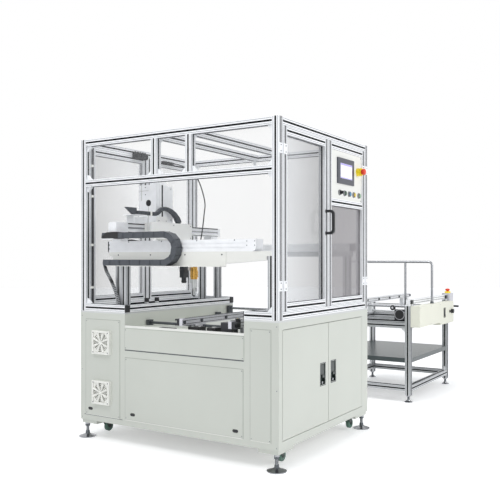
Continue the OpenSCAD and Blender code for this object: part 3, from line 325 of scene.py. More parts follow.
# The apron and its ledge are painted sheet; the bezels of the keys are plated; the camera block is black
repaint("gantry_frame", "white", lambda x, y, z: x < 60.5 and z > 1006)
repaint("operator_bezels", "steel", lambda x, y, z: z < 1500)
repaint("dispensing_valve", "motor", lambda x, y, z: x < 500)
repaint("dispensing_valve", "dull_steel",
        lambda x, y, z: x > 500 and (z < 921 or (y > 950 and abs(x - VALVE_X) < 13)))
repaint("enclosure_windows", "rear_window", lambda x, y, z: y > 1300)
repaint("gantry_beam", "chain", lambda x, y, z: z > 1304 and x < 93)
repaint("conveyor_rail_fixed", "dark_steel", lambda x, y, z: y > 310)
repaint("table_frame", "steel", lambda x, y, z: z > TABLE_H + 2)
for name, centre in LATCH_X.items():
    repaint(name, "dark_green", lambda x, y, z, centre=centre: in_dish(abs(x - centre), y, z))
repaint("y_drag_chain", "cable", lambda x, y, z: y > 1076 and z < 1009)
repaint("table_control_box", "rail", lambda x, y, z: x > TABLE_X + 915 and z < 762)
repaint("table_control_box", "yellow", lambda x, y, z: x > TABLE_X + 915 and z > 761)


# Meshes built in millimetres
def placed(axis, level, u, v):
    """The point at a level along an axis; u and v are the other two coordinates in order."""
    point = [u, v]
    point.insert(axis, level)
    return point


class Shape:
    def __init__(self):
        self.bm = bmesh.new()

    def block(self, low, high):
        low, high = Vector(low), Vector(high)
        bmesh.ops.create_cube(self.bm, size=1, matrix=Matrix.LocRotScale((low + high) / 2, None, high - low))

    def rod(self, a, b, r, r2=None, sides=24):
        a, b = Vector(a), Vector(b)
        turn = (b - a).to_track_quat("Z", "Y")
        far_r = r if r2 is None else r2
        bmesh.ops.create_cone(self.bm, cap_ends=True, segments=sides, radius1=r, radius2=far_r,
                              depth=(b - a).length, matrix=Matrix.LocRotScale((a + b) / 2, turn, None))

    def skin(self, near, far):
        """A closed body between two outlines with as many points."""
        near, far = ([self.bm.verts.new(p) for p in outline] for outline in (near, far))
        self.bm.faces.new(near)
        self.bm.faces.new(far[::-1])
        for i in range(len(near)):
            j = (i + 1) % len(near)
            self.bm.faces.new((near[i], far[i], far[j], near[j]))

    def prism(self, outline, axis, start, stop):
        """A polygon of (u, v) pushed along an axis."""
        self.skin(*([placed(axis, level, u, v) for u, v in outline] for level in (start, stop)))

    def tube(self, points, r, sides=10):
        points = [Vector(p) for p in points]
        rings, side = [], None
        for i, p in enumerate(points):
            heading = (points[min(i + 1, len(points) - 1)] - points[max(i - 1, 0)]).normalized()
            if side is None:
                side = heading.orthogonal().normalized()
            side = (side - heading * side.dot(heading)).normalized()
            up = heading.cross(side)
            rings.append([self.bm.verts.new(p + r * (side * math.cos(t) + up * math.sin(t)))
                          for t in (2 * math.pi * k / sides for k in range(sides))])
        for a, b in zip(rings, rings[1:]):
            for k in range(sides):
                n = (k + 1) % sides
                self.bm.faces.new((a[k], a[n], b[n], b[k]))
        self.bm.faces.new(rings[0][::-1])
        self.bm.faces.new(rings[-1])

    def screw(self, spot, axis, r=3.0, h=2.5):
        """A socket screw's head with its recess, standing on spot along axis."""
        spot, axis = Vector(spot), Vector(axis).normalized()
        self.rod(spot, spot + axis * h, r, r * 0.92, 16)
        top = spot + axis * h
        self.rod(top - axis * 0.1, top + axis * 0.25, r * 0.9, r * 0.8, 16)
        self.rod(top, top + axis * 0.3, r * 0.5, r * 0.5, 6)

    def done(self, name, body, look, edge=0.0, smooth=True):
        bmesh.ops.recalc_face_normals(self.bm, faces=self.bm.faces)
        mesh = bpy.data.meshes.new(name)
        self.bm.to_mesh(mesh)
        self.bm.free()
        mesh.transform(Matrix.Translation((-FOOT / 1000, -FOOT / 1000, 0)) @ Matrix.Scale(0.001, 4))
        mesh.materials.append(M[look])
        obj = bpy.data.objects.new(name, mesh)
        bpy.context.scene.collection.objects.link(obj)
        if smooth:
            mesh.shade_smooth()
            mesh.set_sharp_from_angle(angle=math.radians(38))
        if edge:
            round_edges(obj, edge / 1000)
        if body:
            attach(obj, body)
        return obj


def smooth_line(points, steps=6):
    """A Catmull-Rom line through the points."""
    points = [Vector(p) for p in points]
    line = []
    for i in range(len(points) - 1):
        a, b, c, d = points[max(i - 1, 0)], points[i], points[i + 1], points[min(i + 2, len(points) - 1)]
        for k in range(steps):
            t = k / steps
            line.append(0.5 * (2 * b + (c - a) * t + (2 * a - 5 * b + 4 * c - d) * t * t
                               + (3 * b - a - 3 * c + d) * t ** 3))
    line.append(points[-1])
    return line


# Cords: their points repeat the part's source
HOSE = [(789, 1309, 1700), (791, 1292, 1700), (836, 1230, 1677), (851, 1130, 1597), (813, 1040, 1441),
        (753, 1000, 1337), (659, 955, 1183), (600, 945, 1080), (565, 940, 999)]
HOSE_R = 4.0
HOSE_STRETCHES = ((0, 5, "machine", "gantry_beam"), (5, 6, "gantry_beam", "x_carriage"),
                  (6, 8, "x_carriage", "z_slide"))
BUNDLE = [(37, 1172, 1027.3), (37, 1192, 1013.3), (37, 1180, 977.3), (38, 1150, 932.3), (39, 1135, 907.3),
          (45, 1113, 851.3), (49.7, 1093, 794.3), (50, 1089, 746)]
BUNDLE_R = 8.8
WRAP_STEP, WRAP_WIDTH = 12, 5


def feed_hose():
    steps = 8
    line = smooth_line(HOSE, steps)
    for number, (first, last, a, b) in enumerate(HOSE_STRETCHES, 1):
        points = line[first * steps:last * steps + 1]
        s = Shape()
        s.tube(points, HOSE_R, 12)
        made = s.done(f"feed_hose_stretch_{number}", None, "rubber")
        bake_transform(made)
        if number == 1:
            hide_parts("feed_hose")


def cable_bundle():
    points = smooth_line(BUNDLE, 6)
    s = Shape()
    s.tube(points, BUNDLE_R, 16)
    made = s.done("cable_bundle", "machine", "cable")
    ridges = Shape()
    for a, b in zip(points, points[1:]):
        count = max(1, round((b - a).length / WRAP_STEP))
        for k in range(count):
            spot = a + (b - a) * k / count
            ridges.rod(spot, spot + (b - a).normalized() * WRAP_WIDTH, BUNDLE_R + 0.8, sides=16)
    wrap = ridges.done("cable_bundle_wrap", "machine", "black")


feed_hose()
cable_bundle()


# Profiles: black strips in the slots, and grey strips beside them as the painted shade of the fine grooves
class Strips(Shape):
    """Strips set into the faces of a bar, at offsets from each face's middle line."""

    def __init__(self, offsets, half, depth):
        super().__init__()
        self.offsets, self.half, self.depth = offsets, half, depth

    def bar(self, axis, start, stop, u, v):
        """The strips of a bar along axis whose section starts at u, v."""
        for turned, near, edge in ((False, u, v), (True, v, u)):
            for level in (near + self.depth, near + BAR - self.depth - 1):
                for offset in self.offsets:
                    middle = edge + BAR / 2 + offset
                    low, high = (level, middle - self.half), (level + 1, middle + self.half)
                    if turned:
                        low, high = low[::-1], high[::-1]
                    self.block(placed(axis, start, *low), placed(axis, stop, *high))

    def ring(self, x0, x1, z0, z1, y):
        for x in (x0, x1 - BAR):
            self.bar(2, z0, z1, x, y)
        for z in (z0, z1 - BAR):
            self.bar(0, x0 + BAR, x1 - BAR, y, z)


FAR_X, FAR_Y = W - BAR, L - BAR
STRUTS = (536.0, 774.0)
DOOR_LOW, DOOR_HIGH = 787.0, 1708.0
DOOR_MID, DOOR_GAP = W / 2, 2.0
PANEL_LOW = 1390.0


def enclosure_strips(kind, look, *style):
    s = Strips(*style)
    for x in (0, FAR_X):
        for y in (0, FAR_Y):
            s.bar(2, DECK, H - 0.5, x, y)
        s.bar(1, BAR, FAR_Y, x, ROOF)
        s.bar(1, BAR, TUNNEL_0 - 5, x, DECK)
        s.bar(1, TUNNEL_1 + 1, FAR_Y, x, DECK)
    for y in (0, FAR_Y):
        for z in (DECK, ROOF):
            s.bar(0, BAR, FAR_X, y, z)
    s.bar(0, BAR, FAR_X, TUNNEL_0 - BAR, DECK)
    s.bar(0, BAR, FAR_X, TUNNEL_1, DECK)
    s.bar(1, BAR, FAR_Y, 0, MID)
    for y in STRUTS:
        s.bar(2, MID + BAR, ROOF, 0, y)
        s.bar(0, BAR, FAR_X, y, ROOF)
    for x in (BAR + 0.3, DOOR_MID + 0.15):
        s.ring(x, x + 509.55, DECK + BAR + 0.3, ROOF - 0.3, FAR_Y)
    s.done("enclosure_" + kind, "machine", look, smooth=False)


def door_strips(kind, look, *style):
    left = Strips(*style)
    left.ring(BAR + 3, DOOR_MID - DOOR_GAP, DOOR_LOW, DOOR_HIGH, 0)
    left.done("door_left_" + kind, "front_door_left", look, smooth=False)
    right = Strips(*style)
    right.ring(DOOR_MID + DOOR_GAP, FAR_X - 3, DOOR_LOW, DOOR_HIGH, 0)
    right.bar(0, DOOR_MID + DOOR_GAP + BAR, FAR_X - 3 - BAR, 0, PANEL_LOW - BAR)
    right.done("door_right_" + kind, "front_door_right", look, smooth=False)


def table_strips(kind, look, *style):
    s = Strips(*style)
    for x in (0, TABLE_L):
        for y in (0, TABLE_W):
            s.bar(2, 49.5, TABLE_H - 0.5, *table_at(x - 20, y - 20, 0)[:2])
        for z in (80, 540):
            s.bar(1, TABLE_Y + 20, TABLE_Y + TABLE_W - 20, TABLE_X + x - 20, z)
    for y in (0, TABLE_W):
        for z in (80, 540, TABLE_H - 72):
            s.bar(0, TABLE_X + 20, TABLE_X + TABLE_L - 20, TABLE_Y + y - 20, z)
    s.bar(1, TABLE_Y + 20, TABLE_Y + TABLE_W - 20, TABLE_X + 371, 540)
    s.done("table_" + kind, "machine", look, smooth=False)


def gantry_strips(kind, look, *style):
    s = Strips(*style)
    for y in (60, 1050, 1090):
        s.bar(2, DECK, 1063, 60, y)
    for y in (72, 1045, 1175):
        s.bar(2, DECK, 1063, 980, y)
    s.done("gantry_leg_" + kind, "machine", look, smooth=False)


for strips in (enclosure_strips, door_strips, table_strips, gantry_strips):
    strips("slots", "slot", (0.0,), 4.8, -0.85)
    # Grey strips beside the slots: painted shade in the profiles' fine grooves
    strips("grooves", "groove", (-13.5, 13.5), 0.8, -0.85)


# Cabinet: seams round the sheet panels, a painted highlight along their lower edges, screws, fan filters
def flat_ring(shape, axis, level, thick, low, high, width):
    """A flat frame across axis, its outer edge from low to high in the other two axes."""
    spans = ((low[0], low[0] + width, low[1], high[1]), (high[0] - width, high[0], low[1], high[1]),
             (low[0] + width, high[0] - width, low[1], low[1] + width),
             (low[0] + width, high[0] - width, high[1] - width, high[1]))
    for u0, u1, v0, v1 in spans:
        shape.block(placed(axis, level, u0, v0), placed(axis, level + thick, u1, v1))


PANELS = (((46, 141), (164, 696)), ((209, 144), (999, 490)), ((204, 538), (1002, 656)),
          ((1042, 141), (1307, 696)))


def cabinet_seams():
    s = Shape()
    for low, high in PANELS:
        for level in (-0.7, W - 0.1):
            flat_ring(s, 0, level, 0.8, (low[0] - 3, low[1] - 3), (high[0] + 3, high[1] + 3), 3.2)
    for x0, x1 in ((38, 548), (552, 1062)):
        flat_ring(s, 1, L - 0.1, 0.8, (x0 - 2.5, 147), (x1 + 2.5, 698), 2.6)
    s.done("panel_seams", "machine", "seam", smooth=False)
    dark = Shape()
    dark.block((-0.9, 204, 531), (-0.1, 1002, 536.4))
    dark.block((-0.9, 1020, 136), (-0.1, 1320, 138.5))
    dark.done("panel_shadow_gap", "machine", "dark_steel", smooth=False)
    # White strips along the panels' lower edges on both sides: a painted highlight
    pale = Shape()
    for y0, y1 in ((46, 164), (209, 999), (1042, 1307)):
        pale.block((-1.2, y0, 138.6), (-0.1, y1, 142.4))
        pale.block((W + 0.1, y0, 138.6), (W + 1.2, y1, 142.4))
    pale.done("panel_lower_edge_highlights", "machine", "white", smooth=False)


def panel_screws():
    s = Shape()
    for low, high in PANELS:
        for y in (low[0] + 6, high[0] - 6):
            for z in (low[1] + 8, high[1] - 8):
                s.screw((-1.5, y, z), LEFT, 2.6, 1.4)
                s.screw((W + 1.5, y, z), (1, 0, 0), 2.6, 1.4)
    for y in (12, L - 12):
        for z in (120, 400, 715):
            s.screw((0, y, z), LEFT, 2.6, 1.2)
    s.done("panel_screws", "machine", "steel")


FAN_Y, FAN_LEVELS, FAN_EDGE, FAN_REACH = 1177.0, (277.0, 566.0), 68.0, 57


def fan_details():
    mat = Shape()
    rim = Shape()
    bolts = Shape()
    for z in FAN_LEVELS:
        mat.rod((-3.5, FAN_Y, z), (-2.5, FAN_Y, z), 54.4, sides=48)
        flat_ring(rim, 0, -18.1, 4.2, (FAN_Y - FAN_EDGE, z - FAN_EDGE), (FAN_Y + FAN_EDGE, z + FAN_EDGE), 13)
        for k in range(8):
            turn = math.radians(22.5 + 45 * k)
            spoke = (math.cos(turn), math.sin(turn))
            rim.rod((-15.4, FAN_Y + 12 * spoke[0], z + 12 * spoke[1]),
                    (-15.4, FAN_Y + FAN_REACH * spoke[0], z + FAN_REACH * spoke[1]), 4.4, 8.0, 8)
        rim.rod((-18.6, FAN_Y, z), (-12.4, FAN_Y, z), 11, 13, 32)
        for dy in (-1, 1):
            for dz in (-1, 1):
                bolts.screw((-17.5, FAN_Y + FAN_REACH * dy, z + FAN_REACH * dz), LEFT, 3.4, 1.5)
    mat.done("fan_filter_mats", "machine", "filter")
    rim.done("fan_guards", "machine", "white_plastic", 0.8)
    bolts.done("fan_screws", "machine", "dark_steel")


cabinet_seams()
panel_screws()
fan_details()


# Feet: lock nuts, washers and stem threads
def foot_details():
    nuts = Shape()
    threads = Shape()
    for x in (28, W - 28):
        for y in (28, L - 28):
            nuts.rod((x, y, 62), (x, y, 74), 15, sides=6)
            nuts.rod((x, y, 18), (x, y, 34), 13, 11, 32)
            for k in range(11):
                threads.rod((x, y, 36 + 2.4 * k), (x, y, 37.2 + 2.4 * k), 8.6, sides=20)
    for x in (0, TABLE_L):
        for y in (0, TABLE_W):
            px, py, _ = table_at(x, y, 0)
            threads.rod((px, py, 20), (px, py, 40), 8.4, sides=20)
    nuts.done("foot_lock_nuts", "machine", "dark_steel", 0.5)
    threads.done("foot_threads", "machine", "dark_steel")


foot_details()


# Hinges, handle and latches
def hinge_details():
    for body, sign, edge in (("front_door_left", 1, 0.0), ("front_door_right", -1, W)):
        fixed = Shape()
        moving = Shape()
        for z in (914, 1593):
            for dz in (-15, 15):
                fixed.screw((edge + sign * 17, -3, z + dz), FRONT, 3.6, 1.2)
                moving.screw((edge + sign * 66, -3, z + dz), FRONT, 3.6, 1.2)
        fixed.done(body + "_hinge_screws_fixed", "machine", "dark_steel")
        moving.done(body + "_hinge_screws_moving", body, "dark_steel")


def handle_details():
    s = Shape()
    for z in (DECK + 445, DECK + 566):
        s.rod((DOOR_MID - 30, 0.2, z), (DOOR_MID - 30, -3, z), 11, 9.5, 32)
    s.done("handle_bases", "front_door_left", "black", 0.4)


def latch_details():
    for body, x in LATCH_X.items():
        rim = Shape()
        flat_ring(rim, 1, -1.2, 1.3, (x - 33, 356), (x + 33, 482), 4)
        rim.done(body + "_latch_rim", body, "dark_steel", 0.4)
        lock = Shape()
        lock.rod((x, 4.2, 373), (x, 2.4, 373), 7.2, sides=32)
        lock.block((x - 1, 2.0, 369), (x + 1, 2.5, 377))
        lock.done(body + "_lock_barrel", body, "steel")


hinge_details()
handle_details()
latch_details()


# Control panel
def screen_display():
    low, high = (705.0, 1514.0), (865.0, 1600.0)
    glass = Shape()
    glass.block((low[0], -2.05, low[1]), (high[0], -1.0, high[1]))
    glass.done("screen_display", "front_door_right", "screen", smooth=False)
    bar = Shape()
    bar.block((low[0] + 1, -2.25, high[1] - 10), (high[0] - 1, -2.0, high[1] - 1))
    bar.block((low[0] + 1, -2.25, low[1] + 1), (high[0] - 1, -2.0, low[1] + 5))
    bar.done("screen_bands", "front_door_right", "screen_bar", smooth=False)
    tiles = Shape()
    for i in range(4):
        x = low[0] + 10 + i * 37
        tiles.block((x, -2.3, low[1] + 16), (x + 28, -2.0, low[1] + 58))
    tiles.done("screen_tiles", "front_door_right", "screen_tile", smooth=False)


KEY_XS, KEY_Z = (706, 774, 838, 903, 977), 1430


def panel_details():
    s = Shape()
    for x in (600, 1008):
        for z in (1399, 1659):
            s.screw((x, 6, z), FRONT, 3, 1.6)
    s.done("panel_screws_right_door", "front_door_right", "steel")
    rings = Shape()
    for x in KEY_XS:
        rings.rod((x, -2, KEY_Z), (x, -3.2, KEY_Z), 14.2, 12.6, 36)
        rings.rod((x, 6, KEY_Z), (x, 4.6, KEY_Z), 17, 16.4, 36)
    rings.done("key_washers", "front_door_right", "black", 0.2)


screen_display()
panel_details()


# Linear modules: cover strips, end caps and screws
def module_details():
    strip = Shape()
    strip.block((78, 236, 1150.4), (112, 1178, 1151.6))
    strip.block((983, 66, 1142.4), (1017, 1234, 1143.6))
    strip.done("module_belts", "machine", "steel", smooth=False)
    caps = Shape()
    caps.block((61, 1182, 1088), (129, 1192, 1150))
    caps.block((966, 1240, 1096), (1034, 1250, 1142))
    caps.block((966, 50, 1096), (1034, 60, 1142))
    caps.block((96, 228.5, 1108), (132, 262, 1134))
    caps.done("module_end_caps", "machine", "motor", 1.0)
    bolts = Shape()
    for y in (300, 543, 786, 1029):
        bolts.screw((60, y, 1146), LEFT, 3.4, 1.2)
    for y in (377, 620, 863, 1105):
        bolts.screw((57, y, 1071), LEFT, 4, 1.6)
    for y in (176, 224):
        for z in (1118, 1140):
            bolts.screw((60, y, z), LEFT, 2.6, 1)
    bolts.done("module_screws", "machine", "dark_steel")


BEAM_FACE, BEAM_END = 1091.2, 1040


def beam_details():
    belt = Shape()
    belt.block((92, BEAM_FACE, 1227), (BEAM_END, BEAM_FACE + 1, 1236))
    belt.block((92, 1108, 1259.4), (BEAM_END, 1142, 1260.6))
    belt.done("beam_belt", "gantry_beam", "steel", smooth=False)
    caps = Shape()
    caps.block((18, 1090, 1203.5), (30, 1140, 1262))
    caps.block((26, 1088.6, 1203.5), (122, 1091.9, 1262))
    caps.block((1063, 1093, 1204), (1071, 1156, 1259))
    caps.block((186, 1093, 1260.5), (296, 1112, 1301.5))
    caps.done("beam_end_caps", "gantry_beam", "module", 3.0)
    # Black strips along the beam's face: painted shade in its grooves
    seam = Shape()
    seam.block((124, BEAM_FACE, 1252.5), (BEAM_END, BEAM_FACE + 0.75, 1258.5))
    seam.block((124, BEAM_FACE, 1205), (BEAM_END, BEAM_FACE + 0.75, 1208))
    seam.done("beam_groove_shades", "gantry_beam", "slot", smooth=False)
    end = Shape()
    end.prism([(1060, 1202), (1146, 1202), (1186, 1175), (1186, 1169), (1098, 1169), (1098, 1164),
               (1060, 1164)], 0, 0, 59)
    end.prism([(952, 1151.4), (976, 1155), (1012, 1160), (1036, 1159), (1040, 1151.4)], 0, 62, 76)
    end.done("y_chain_end_bracket", "gantry_beam", "black", 1.0)
    bolts = Shape()
    for x in (66, 124):
        for z in (1165, 1190):
            bolts.screw((x, 1092, z), FRONT, 3, 1.5)
    bolts.done("beam_screws", "gantry_beam", "dark_steel")


def head_details():
    strip = Shape()
    strip.block((356.4, 1029.6, 1196), (367.6, 1030.8, 1499))
    strip.done("z_module_strip", "x_carriage", "slot", smooth=False)
    grommet = Shape()
    grommet.rod((299, 1086, 1388), (302, 1086, 1388), 19.5, sides=36)
    grommet.done("housing_grommet", "x_carriage", "black", 0.4)
    lines = Shape()
    lines.block((299.5, 1140, 1404), (300.1, 1143, 1497))
    lines.block((299.5, 1084, 1270), (300.1, 1086, 1366))
    lines.block((299.5, 1086, 1462), (300.1, 1160, 1464))
    lines.done("housing_seams", "x_carriage", "seam", smooth=False)
    cap = Shape()
    cap.block((301, 1031, 1510.2), (399, 1077, 1514))
    cap.done("z_module_cap", "x_carriage", "module", 1.0)
    bolts = Shape()
    for z in (1282, 1440, 1484):
        bolts.screw((300, 1110, z), LEFT, 3.2, 1.4)
    for z in (1290, 1482):
        bolts.screw((452, 1036, z), FRONT, 3.2, 1.4)
    for x in (424, 595):
        for z in (1180, 1255):
            bolts.screw((x, 990, z), FRONT, 3, 1.4)
    bolts.done("head_screws", "x_carriage", "dark_steel")


def valve_details():
    metal = Shape()
    for z in (936, 948, 960):
        metal.rod((VALVE_X, VALVE_Y, z), (VALVE_X, VALVE_Y, z + 4), 26, sides=36)
    metal.rod((VALVE_X, VALVE_Y, 997), (VALVE_X, VALVE_Y, 1004), 9, sides=6)
    metal.done("valve_rings", "z_slide", "brass", 0.4)
    pale = Shape()
    pale.rod((VALVE_X, VALVE_Y, 905), (VALVE_X, VALVE_Y, 912), 17, sides=36)
    pale.rod((VALVE_X, VALVE_Y, 869), (VALVE_X, VALVE_Y, 877), 13, 11, 32)
    pale.done("valve_collars", "z_slide", "dull_steel", 0.3)
    needle = Shape()
    needle.rod((VALVE_X, VALVE_Y, 796), (VALVE_X, VALVE_Y, 806), 1.1, 1.4, 12)
    needle.rod((VALVE_X, VALVE_Y, 812), (VALVE_X, VALVE_Y, 822), 5.5, 6.5, 6)
    needle.done("needle_hub", "z_slide", "dark_steel")
    lens = Shape()
    lens.rod((LENS_X, LENS_Y, 913.5), (LENS_X, LENS_Y, 905), 17, sides=36)
    lens.rod((LENS_X, LENS_Y, 905), (LENS_X, LENS_Y, 900), 13, 14.5, 36)
    lens.block((452, 930, 962), (488, 932.4, 992))
    lens.done("camera_lens", "z_slide", "black", 0.5)
    bolts = Shape()
    for x in (541, 589):
        for z in (1146, 1156):
            bolts.screw((x, 968, z), FRONT, 2.6, 1.2)
    for z in (1160, 1200, 1240, 1280):
        for x in (316, 384):
            bolts.screw((x, 1017.7, z), FRONT, 2.8, 1.2)
    bolts.done("slide_screws", "z_slide", "dark_steel")


module_details()
beam_details()
head_details()
valve_details()


# Cable chains
def walk(place, legs, distance):
    """The point at a distance along straight and curved legs, each a length and a turn in degrees."""
    u, z, turn = place
    turn = math.radians(turn)
    for length, bend in legs:
        step = min(distance, length)
        swing = math.radians(bend) * step / length
        if bend:
            radius = length / math.radians(bend)
            u += radius * (math.sin(turn + swing) - math.sin(turn))
            z -= radius * (math.cos(turn + swing) - math.cos(turn))
        else:
            u += step * math.cos(turn)
            z += step * math.sin(turn)
        turn += swing
        distance -= step
        if distance <= 0:
            break
    return Vector((u, z))


def chain_link(shape, pins, first, height, width, place):
    """Side plates, cross bars and pins of a link; place turns (along, across, up) into the drawing's axes."""
    a, b = pins
    run = (b - a).normalized()
    up = Vector((-run[1], run[0]))
    middle, reach, half, cut = (a + b) / 2, (b - a).length / 2 + 8, height / 2, height * 0.08
    slope, flat, shoulder = reach - cut * 0.6, reach - cut * 1.3, half * 0.7
    corners = [(-reach, 0), (-slope, shoulder), (-flat, half), (flat, half), (slope, shoulder),
               (reach, 0), (slope, -shoulder), (flat, -half), (-flat, -half), (-slope, -shoulder)]
    outline = [middle + run * s + up * n for s, n in corners]
    inset = 0.0 if first else 2.6
    for side in (-1, 1):
        near, far = side * (width / 2 - inset), side * (width / 2 - inset - 2.5)
        shape.skin(*([place(p[0], w, p[1]) for p in outline] for w in (near, far)))
        shape.rod(place(b[0], side * (width / 2 - 4), b[1]), place(b[0], side * (width / 2 + 0.8), b[1]),
                  height * 0.17, sides=20)
    for side in (-1, 1):
        low = middle + up * side * (half - 3)
        ring = []
        for w in (-width / 2 + 2, width / 2 - 2):
            for s, n in ((-reach * 0.8, 0), (reach * 0.8, 0), (reach * 0.8, 2.6), (-reach * 0.8, 2.6)):
                p = low + run * s + up * side * n
                ring.append(shape.bm.verts.new(place(p[0], w, p[1])))
        for face in ((0, 1, 2, 3), (7, 6, 5, 4), (0, 4, 5, 1), (1, 5, 6, 2), (2, 6, 7, 3), (3, 7, 4, 0)):
            shape.bm.faces.new([ring[i] for i in face])


Y_CHAIN_X, Y_CHAIN_WIDTH, LINK_HEIGHT, BEND_R = 29.0, 54.0, 34.0, 77.5
CHAIN_LOW = 1027.3
FIXED_Y, BEND_Y, BEAM_Y = 1169.0, 732.0, 1180.0
Y_LEGS = ((FIXED_Y - BEND_Y, 0), (BEND_R * math.pi, -180), (BEAM_Y - BEND_Y, 0))
Y_LINKS, X_LINKS = 30, 24


def y_chain():
    total = sum(leg[0] for leg in Y_LEGS)
    pins = [walk((FIXED_Y, CHAIN_LOW, 180), Y_LEGS, total * i / Y_LINKS) for i in range(Y_LINKS + 1)]
    groups = {"lower": Shape(), "bend": Shape(), "upper": Shape()}
    for i in range(Y_LINKS):
        middle = total * (i + 0.5) / Y_LINKS
        part = "lower" if middle < Y_LEGS[0][0] else "bend" if middle < total - Y_LEGS[2][0] else "upper"
        chain_link(groups[part], (pins[i], pins[i + 1]), i % 2 == 0, LINK_HEIGHT, Y_CHAIN_WIDTH,
                   lambda u, w, z: (Y_CHAIN_X + w, u, z))
    made = {part: shape.done("y_chain_" + part, None, "chain", 0.4) for part, shape in groups.items()}
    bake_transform(made["lower"])
    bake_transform(made["bend"])
    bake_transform(made["upper"])
    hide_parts("y_drag_chain")


X_LEGS = ((150.0, 0), (50.0, 40), (59.0, -40), (166.56, -60))
X_CHAIN_START, X_CHAIN_Y = (105, 1316.3, 0), 1006


def x_chain():
    total = sum(leg[0] for leg in X_LEGS)
    pins = [walk(X_CHAIN_START, X_LEGS, total * i / X_LINKS) for i in range(X_LINKS + 1)]
    s = Shape()
    for i in range(X_LINKS):
        height = 22 + 3 * max(0, i - 17)
        chain_link(s, (pins[i], pins[i + 1]), i % 2 == 0, height, 20, lambda u, w, z: (u, X_CHAIN_Y + w, z))
    made = s.done("x_chain", None, "chain", 0.3)
    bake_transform(made)
    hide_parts("x_drag_chain")
    clip = Shape()
    clip.block((212, 994.4, 1303.6), (228, 1017.6, 1329))
    strap = clip.done("x_chain_clip", None, "white_plastic", 0.8)
    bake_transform(strap)


y_chain()
x_chain()


# Conveyor in the tunnel
RAIL_0, RAIL_1 = 284.0, 600.0
BELT_HALF = 3.4
SENSOR_XS = (46, 300, 760)


def conveyor_details():
    for body, belt_y, face, inner, outer in (("machine", 298, RAIL_0, RAIL_0 + 20, RAIL_0),
                                             ("conveyor_rail_sliding", 606, RAIL_1, RAIL_1, RAIL_1 + 20)):
        belt = Shape()
        belt.block((12.5, belt_y - BELT_HALF, 725.3), (1087.5, belt_y + BELT_HALF, 727.7))
        for z in (697, 715):
            belt.block((8.5, face - 0.4, z), (1091.5, face + 0.6, z + 2.6))
        belt.done(body + "_conveyor_belt", body, "black", smooth=False)
        toward = 1 if inner > outer else -1
        wheels = Shape()
        for x in (24, 180, 420, 680, 920, 1000):
            wheels.rod((x, inner + 0.2 * toward, 709), (x, inner + 7 * toward, 709), 9, sides=28)
            wheels.rod((x, inner + 7 * toward, 709), (x, inner + 8.4 * toward, 709), 4, sides=6)
        wheels.done(body + "_belt_pulleys", body, "dark_steel", 0.3)
        blocks = Shape()
        for x in (10, 560):
            for low, high, out in ((689, 698, 32), (698, 716, 20), (716, 725, 32)):
                blocks.block((x, outer - 0.1 * toward, low), (x + 34, outer - out * toward, high))
            blocks.rod((x + 17, outer - 20 * toward, 707), (x + 17, outer - 23 * toward, 707), 8, sides=24)
        blocks.done(body + "_bearing_blocks", body, "motor", 0.8)
        guide = Shape()
        edge = inner if toward > 0 else inner - 2
        guide.block((30, edge, 728), (1070, edge + 2, 731))
        guide.done(body + "_board_guide", body, "steel", 0.2)


def conveyor_sensors():
    s = Shape()
    for x in SENSOR_XS:
        s.block((x, 262, 690), (x + 16, 283.8, 735))
        s.block((x - 4, 268, 735), (x + 20, 283.8, 741))
    s.done("conveyor_sensors", "machine", "black", 0.6)
    lamp = Shape()
    for x in SENSOR_XS:
        lamp.rod((x + 8, 276, 741), (x + 8, 276, 742.4), 2.4, sides=16)
    lamp.done("sensor_lamps", "machine", "amber")


def tunnel_details():
    lips = Shape()
    for x in (0.3, W - 3.3):
        lips.block((x, TUNNEL_0 + 1, TUNNEL_Z - 0.5), (x + 3, TUNNEL_1 - 1, TUNNEL_Z + 13))
    lips.done("tunnel_lips", "machine", "white", 0.6)
    dark = Shape()
    dark.block((6, 655, TUNNEL_Z + 0.4), (30, 758, TUNNEL_Z + 15))
    dark.block((36, 508, TUNNEL_Z + 0.4), (96, 584, TUNNEL_Z + 26))
    dark.block((30, 400, TUNNEL_Z + 0.4), (88, 456, TUNNEL_Z + 26))
    for y in (520, 545, 570):
        dark.rod((34, y, TUNNEL_Z + 14), (36, y, TUNNEL_Z + 14), 8, sides=20)
    dark.rod((26, 428, TUNNEL_Z + 14), (30, 428, TUNNEL_Z + 14), 10, sides=24)
    dark.done("board_stop_blocks", "machine", "black", 1.0)
    pale = Shape()
    for y in (516, 562):
        pale.rod((50, y, TUNNEL_Z + 26), (50, y, TUNNEL_Z + 29), 7, sides=20)
    pale.rod((60, 428, TUNNEL_Z + 26), (60, 428, TUNNEL_Z + 29), 12, sides=28)
    pale.done("board_stop_caps", "machine", "dull_steel", 0.4)


conveyor_details()
conveyor_sensors()
tunnel_details()


# Enclosure: gussets, air parts and the clipped cable
def gusset(shape, corner, first, second, axis, thick=16, leg=30):
    """A triangular corner bracket whose legs run from the corner along two signed axes."""
    corner = Vector(corner)
    a, b = Vector(first) * leg, Vector(second) * leg
    side = Vector([thick / 2 if i == axis else 0 for i in range(3)])
    lip = 0.16
    outline = [corner, corner + a, corner + a + b * lip, corner + a * lip + b, corner + b]
    shape.skin(*([p + offset for p in outline] for offset in (-side, side)))


